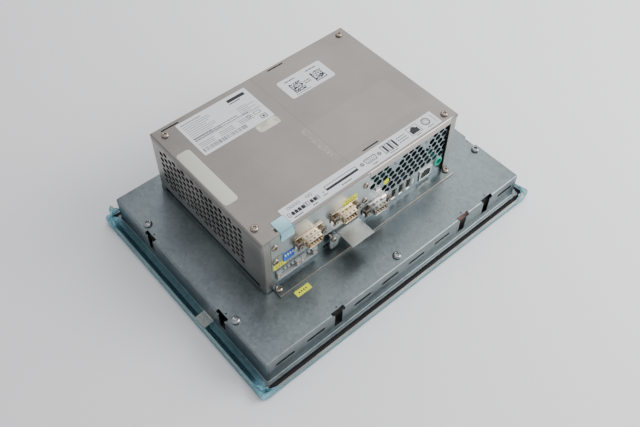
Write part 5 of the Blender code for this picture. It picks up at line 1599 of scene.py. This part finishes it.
def makeIconStrip():
    settings = {"left": -81.1 * mm, "right": 92.1 * mm, "low": -57.2 * mm, "high": -40.9 * mm, "seed": 2}
    dice = random.Random(settings["seed"])
    left, right, low, high = (settings[key] for key in ("left", "right", "low", "high"))
    middle = (low + high) / 2
    makeLabel("iconStrip", roundRect(left, low, right, high, 0.6 * mm), plastics["paper"], "header_grey")
    bm = bmesh.new()
    barHeight = 0.9 * mm
    # Two terminal plugs: a frame, four or two square contacts, and a row of cells behind.
    for start, poles in ((-76 * mm, 4), (-56.5 * mm, 2)):
        pitch = 3.4 * mm
        for i in range(poles):
            x = start + 3 * mm + i * pitch
            inkShape(bm, [(-1.4, -1.7), (1.4, -1.7), (1.4, 0.9), (0.7, 1.9), (-0.7, 1.9), (-1.4, 0.9)], x,
                     middle - 1.8 * mm, 1.05)
            inkFrame(bm, x, middle + 4.4 * mm, 2.7 * mm, 2.7 * mm, 0.3 * mm)
        inkFrame(bm, start - 0.9 * mm, middle - 1.6 * mm, 2.6 * mm, 4.2 * mm, 0.35 * mm)
        inkFrame(bm, start + poles * pitch + 2.6 * mm, middle - 1.6 * mm, 2.9 * mm, 4.2 * mm, 0.35 * mm)
        inkRing(bm, start + poles * pitch + 2.6 * mm, middle - 1.6 * mm, 0.8 * mm, 0.25 * mm)
        inkLine(bm, start + 1 * mm, middle - 6 * mm, poles * 2.4 * mm, barHeight, dice)
    inkBox(bm, -40.5 * mm, middle - 1 * mm, 1.1 * mm, 1.1 * mm)
    inkLine(bm, -42.6 * mm, middle - 4 * mm, 4.4 * mm, 0.8 * mm, dice)
    # A card in its slot.
    inkFrame(bm, -19.6 * mm, middle + 0.4 * mm, 35 * mm, 5.2 * mm, 0.4 * mm, 0.2 * mm)
    inkBox(bm, -19.6 * mm, middle - 1 * mm, 34.4 * mm, 2.4 * mm)
    inkLine(bm, -24 * mm, middle - 5.3 * mm, 11 * mm, barHeight, dice)
    # A nine-pin plug between its two screws.
    outline = [(-5.8, 2.9), (5.8, 2.9), (6.7, 2.0), (5.5, -2.5), (4.6, -2.9), (-4.6, -2.9), (-5.5, -2.5),
               (-6.7, 2.0)]
    inner = [(x * 0.89, y * 0.77) for x, y in outline]
    at = (13.5 * mm, middle + 0.2 * mm)
    frameOf(bm, shifted(outline, *at, mm), shifted(inner, *at, mm), inkFoot, inkTop)
    for count, row in ((5, 1.1), (4, -1.1)):
        for i in range(count):
            inkBox(bm, at[0] + (i - (count - 1) / 2) * 2.1 * mm, at[1] + row * mm, 1 * mm, 1 * mm)
    for side in (-1, 1):
        inkRing(bm, at[0] + side * 9.9 * mm, at[1], 1.9 * mm, 0.45 * mm)
        inkRing(bm, at[0] + side * 9.9 * mm, at[1], 1.0 * mm, 0.3 * mm)
    inkLine(bm, 11 * mm, middle - 5.6 * mm, 6 * mm, barHeight, dice)
    # Three upright serial-bus sockets.
    for x in (30 * mm, 35.4 * mm, 40.8 * mm):
        inkFrame(bm, x, middle + 0.6 * mm, 4.4 * mm, 9.6 * mm, 0.45 * mm, 0.2 * mm)
        inkBox(bm, x + 0.9 * mm, middle + 0.6 * mm, 1.6 * mm, 7.8 * mm)
    inkLine(bm, 31 * mm, middle - 5.9 * mm, 9 * mm, 0.7 * mm, dice)
    for i, y in enumerate((2.8, 0.2, -2.4)):
        inkBox(bm, 46.4 * mm, middle + y * mm, 1.3 * mm, 1.3 * mm)
        inkLine(bm, 48 * mm, middle + y * mm, 8 * mm, 0.8 * mm, dice)
    # A network plug in its socket, and a round socket.
    inkFrame(bm, 65.6 * mm, middle + 0.6 * mm, 12.6 * mm, 10.2 * mm, 0.35 * mm, 0.2 * mm)
    inkShape(bm, [(-4.6, -3.6), (4.6, -3.6), (4.6, 1.6), (2.8, 1.6), (2.8, 2.8), (1.5, 2.8), (1.5, 3.9),
                  (-1.5, 3.9), (-1.5, 2.8),
                  (-2.8, 2.8), (-2.8, 1.6), (-4.6, 1.6)], 65.6 * mm, middle + 0.5 * mm)
    inkLine(bm, 63 * mm, middle - 6 * mm, 5 * mm, 0.8 * mm, dice)
    inkRing(bm, 80.4 * mm, middle + 1.2 * mm, 4.4 * mm, 0.6 * mm)
    inkRing(bm, 80.4 * mm, middle + 1.2 * mm, 3.1 * mm, 0.3 * mm)
    for a, b in ((-1.4, 0.6), (1.4, 0.6), (-0.9, -1.3), (0.9, -1.3), (0, 1.6)):
        inkBox(bm, (80.4 + a) * mm, middle + (1.2 + b) * mm, 0.7 * mm, 0.7 * mm)
    inkLine(bm, 77.5 * mm, middle - 5.4 * mm, 7 * mm, 0.8 * mm, dice)
    for i in range(9):
        inkBox(bm, 88.9 * mm, middle + (i - 4) * 1.1 * mm, 1.1 * mm, 0.45 * mm)
    place(asMesh("iconPrint", bm), plastics["ink"], "socket_black")


def makeSmallLabels():
    outline = roundRect(-110.1 * mm, -10.7 * mm, -96.3 * mm, 60.3 * mm, 3.2 * mm)
    bm = bmesh.new()
    skin(bm, [flat(outline, boxTop + 0.01 * mm), flat(outline, boxTop + 0.3 * mm),
              flat(roundRect(-109.8 * mm, -10.4 * mm, -96.6 * mm, 60 * mm, 3 * mm), boxTop + 0.42 * mm)])
    place(asMesh("beigePad", bm), plastics["beige"], "light_pipe")
    makeLabel("stickerRest", roundRect(-38 * mm, 34.6 * mm, -15 * mm, 43.9 * mm, 2 * mm), films["ghost"],
              "film_blue", boxTop + 0.04 * mm)
    # Yellow stickers on the option plate, the tray and the socket panel.
    plateFront = boxFront - 0.02 * mm
    bm = bmesh.new()
    block(bm, (-26.9 * mm, plateFront - 0.1 * mm, 85.6 * mm), (-11.3 * mm, plateFront, 91.2 * mm))
    block(bm, (-102.4 * mm, plateFront - 0.1 * mm, 61.5 * mm), (-89.4 * mm, plateFront, 67.4 * mm))
    block(bm, (-92.9 * mm, -79.4 * mm, trayTop + 0.01 * mm), (-77.3 * mm, -73.3 * mm, trayTop + 0.12 * mm))
    skin(bm, [standing(circle(3.3 * mm, 24), y, (26.4 * mm, 74.5 * mm))
              for y in (panelFace - 0.02 * mm, panelFace - 0.12 * mm)])
    place(asMesh("yellowStickers", bm), plastics["yellow"], "header_grey")
    bars = []
    for start, z, count in ((-24, 88.4 * mm, 4), (-100, 64.4 * mm, 3)):
        for i in range(count):
            x = (start + i * 2.6) * mm
            bars.append(((x, plateFront - 0.13 * mm, z - 0.8 * mm),
                         (x + 1.5 * mm, plateFront - 0.09 * mm, z + 0.8 * mm)))
    for i in range(4):
        x = (-89.6 + i * 2.4) * mm
        bars.append(((x, -77.1 * mm, trayTop + 0.1 * mm), (x + 1.4 * mm, -75.5 * mm, trayTop + 0.15 * mm)))
    place(blocksOf("stickerPrint", bars), plastics["inkGrey"], "socket_black")
    # Painted shade: a black strip on the option plate where the shade of a slit falls.
    slitShade = ((-102 * mm, plateFront - 0.03 * mm, 77.8 * mm), (-92 * mm, plateFront + 0.1 * mm, 78.3 * mm))
    place(blocksOf("plateSlit", [slitShade]), plastics["black"], "socket_black")


def makeTape():
    settings = {"left": -93.5 * mm, "right": -80.1 * mm, "back": -46.5 * mm, "hang": 9.5 * mm,
                "lift": 0.12 * mm,
                "thick": 0.1 * mm, "line": 0.2 * mm}
    lift, line = settings["lift"], settings["line"]
    left, right, back = settings["left"], settings["right"], settings["back"]
    edge = boxFront - 0.25 * mm
    path = [(back, boxTop + lift), (boxFront + 0.8 * mm, boxTop + lift),
            (boxFront + 0.2 * mm, boxTop + 0.05 * mm)]
    path += [(edge, boxTop - 0.5 * mm), (edge - 0.2 * mm, boxTop - 4 * mm),
             (edge - 1 * mm, boxTop - settings["hang"])]
    near, far = ribbonSides(path, settings["thick"])
    rings = [[(x, p.x, p.y) for p in near + far[::-1]] for x in (left, right)]
    place(skinned("blueTape", rings), films["tape"], "film_blue")
    # A shadow line round the tape, and a crumb beside it.
    level = boxTop + 0.2 * mm
    boxes = [((-95.4 * mm, -56.6 * mm, boxTop + 0.01 * mm), (-93.4 * mm, -53.2 * mm, boxTop + 0.35 * mm))]
    for lowX, highX in ((left, left + line), (right - line, right)):
        boxes.append(((lowX, boxFront, level), (highX, back, level + 0.04 * mm)))
        boxes.append(((lowX, edge - 0.5 * mm, boxTop - 4.5 * mm),
                      (highX, edge - 0.35 * mm, boxTop - 0.4 * mm)))
    boxes.append(((left, boxFront, level), (right, boxFront + line, level + 0.04 * mm)))
    boxes.append(((left, back - line, level), (right, back, level + 0.04 * mm)))
    place(blocksOf("tapeEdge", boxes), plastics["ink"], "socket_black")


# A piece of clear tape over the film's left lap, up to the foot of the tray's wall.
def makeClearTape():
    settings = {"thick": 0.08 * mm, "from": -38 * mm, "to": -24 * mm, "lift": 2.4 * mm}
    edge = -trayHalf[0]
    lap = trayLow.z + settings["lift"]
    path = [(-flangeHalf[0] - 4.6 * mm, lap - 0.6 * mm), (-flangeHalf[0] - 2 * mm, lap + 0.2 * mm)]
    path += [(edge - 1.4 * mm, lap + 0.6 * mm), (edge - 0.4 * mm, lap + 2 * mm)]
    near, far = ribbonSides(path, settings["thick"])
    rings = [[(p.x, y, p.y) for p in near + far[::-1]] for y in (settings["from"], settings["to"])]
    place(skinned("clearTape", rings), films["clear"], "film_blue")


makeRatingLabel()
makeCodeLabel()
makeIconStrip()
makeSmallLabels()
makeTape()
makeClearTape()
print("labels made")

# Carried-over nodes keep their shape and get their finish.
finishes = {
    "io_panel": metals["panel"], "touch_glass": plastics["glass"], "display_panel": plastics["display"],
    "status_light_pipe": plastics["light"], "mainboard": plastics["board"], "heat_sink": metals["sink"],
    "fan_frame": plastics["black"], "fan_rotor": plastics["black"], "option_board": plastics["board"],
    "power_board": plastics["board"], "power_lead": plastics["red"], "display_lead": plastics["grey"],
    "card_socket": plastics["black"], "memory_card": plastics["black"], "coin_cell": metals["nickel"],
    "reset_button": plastics["black"],
}
for nodeName, node in nodes.items():
    material = finishes.get(nodeName, metals["screw"])
    if node.hide_render:
        continue
    node.data.materials.clear()
    node.data.materials.append(material)

# Floor, light and camera.
def makeStage():
    settings = {"floor": (0.95, 0.95, 0.96), "shade": (0.69, 0.68, 0.69), "size": 8.0, "world": 0.7}
    bm = bmesh.new()
    bmesh.ops.create_grid(bm, x_segments=8, y_segments=8, size=settings["size"])
    floor = asMesh("floor", bm)
    paper, tree, shader = startMaterial("floorPaper", settings["floor"], 0.75)
    fine = noiseOf(tree, 3, 2)
    mottled = mixColours(tree, fine, 0, settings["floor"], dimmed(settings["floor"], 0.98))
    spot = addNode(tree, "ShaderNodeTexCoord")
    split = addNode(tree, "ShaderNodeSeparateXYZ")
    link(tree, spot, "Object", split, "Vector")
    shade = ranged(tree, split, 0, -0.45, 0.3, 0, 1)
    paint(shader, mixColours(tree, shade, 0, settings["shade"], mottled))
    floor.data.materials.append(paper)
    floor.location.z = -0.2 * mm
    world = bpy.data.worlds.new("studio")
    bpy.context.scene.world = world
    world.use_nodes = True
    background = world.node_tree.nodes["Background"]
    background.inputs["Color"].default_value = (0.93, 0.95, 1.0, 1)
    background.inputs["Strength"].default_value = settings["world"]


def addLight(name, at, size, power):
    target = (0, 0, 0.05)
    data = bpy.data.lights.new(name, "AREA")
    data.shape = "RECTANGLE"
    data.size, data.size_y = size
    data.energy = power
    lamp = newObject(name, data)
    lamp.location = at
    lamp.rotation_euler = (Vector(target) - Vector(at)).to_track_quat("-Z", "Y").to_euler()


def makeCamera():
    settings = {"at": (-0.30384, -0.34307, 0.58715), "target": (-0.02051, -0.02379, 0.0345), "lens": 43.0,
                "roll": 0.82}
    data = bpy.data.cameras.new("camera")
    data.lens = settings["lens"]
    data.sensor_width = 36
    camera = newObject("camera", data)
    camera.location = settings["at"]
    gaze = (Vector(settings["target"]) - Vector(settings["at"])).to_track_quat("-Z", "Y")
    camera.rotation_euler = (gaze.to_matrix() @ Matrix.Rotation(math.radians(settings["roll"]), 3,
                                                                "Z")).to_euler()
    bpy.context.scene.camera = camera


makeStage()
addLight("keyLight", (1.15, -0.95, 1.15), (1.2, 1.0), 36)
addLight("backLight", (1.0, 0.8, 1.2), (1.3, 1.0), 8)
addLight("topLight", (0.1, -0.2, 1.7), (1.4, 1.4), 7)
makeCamera()
print("stage made")
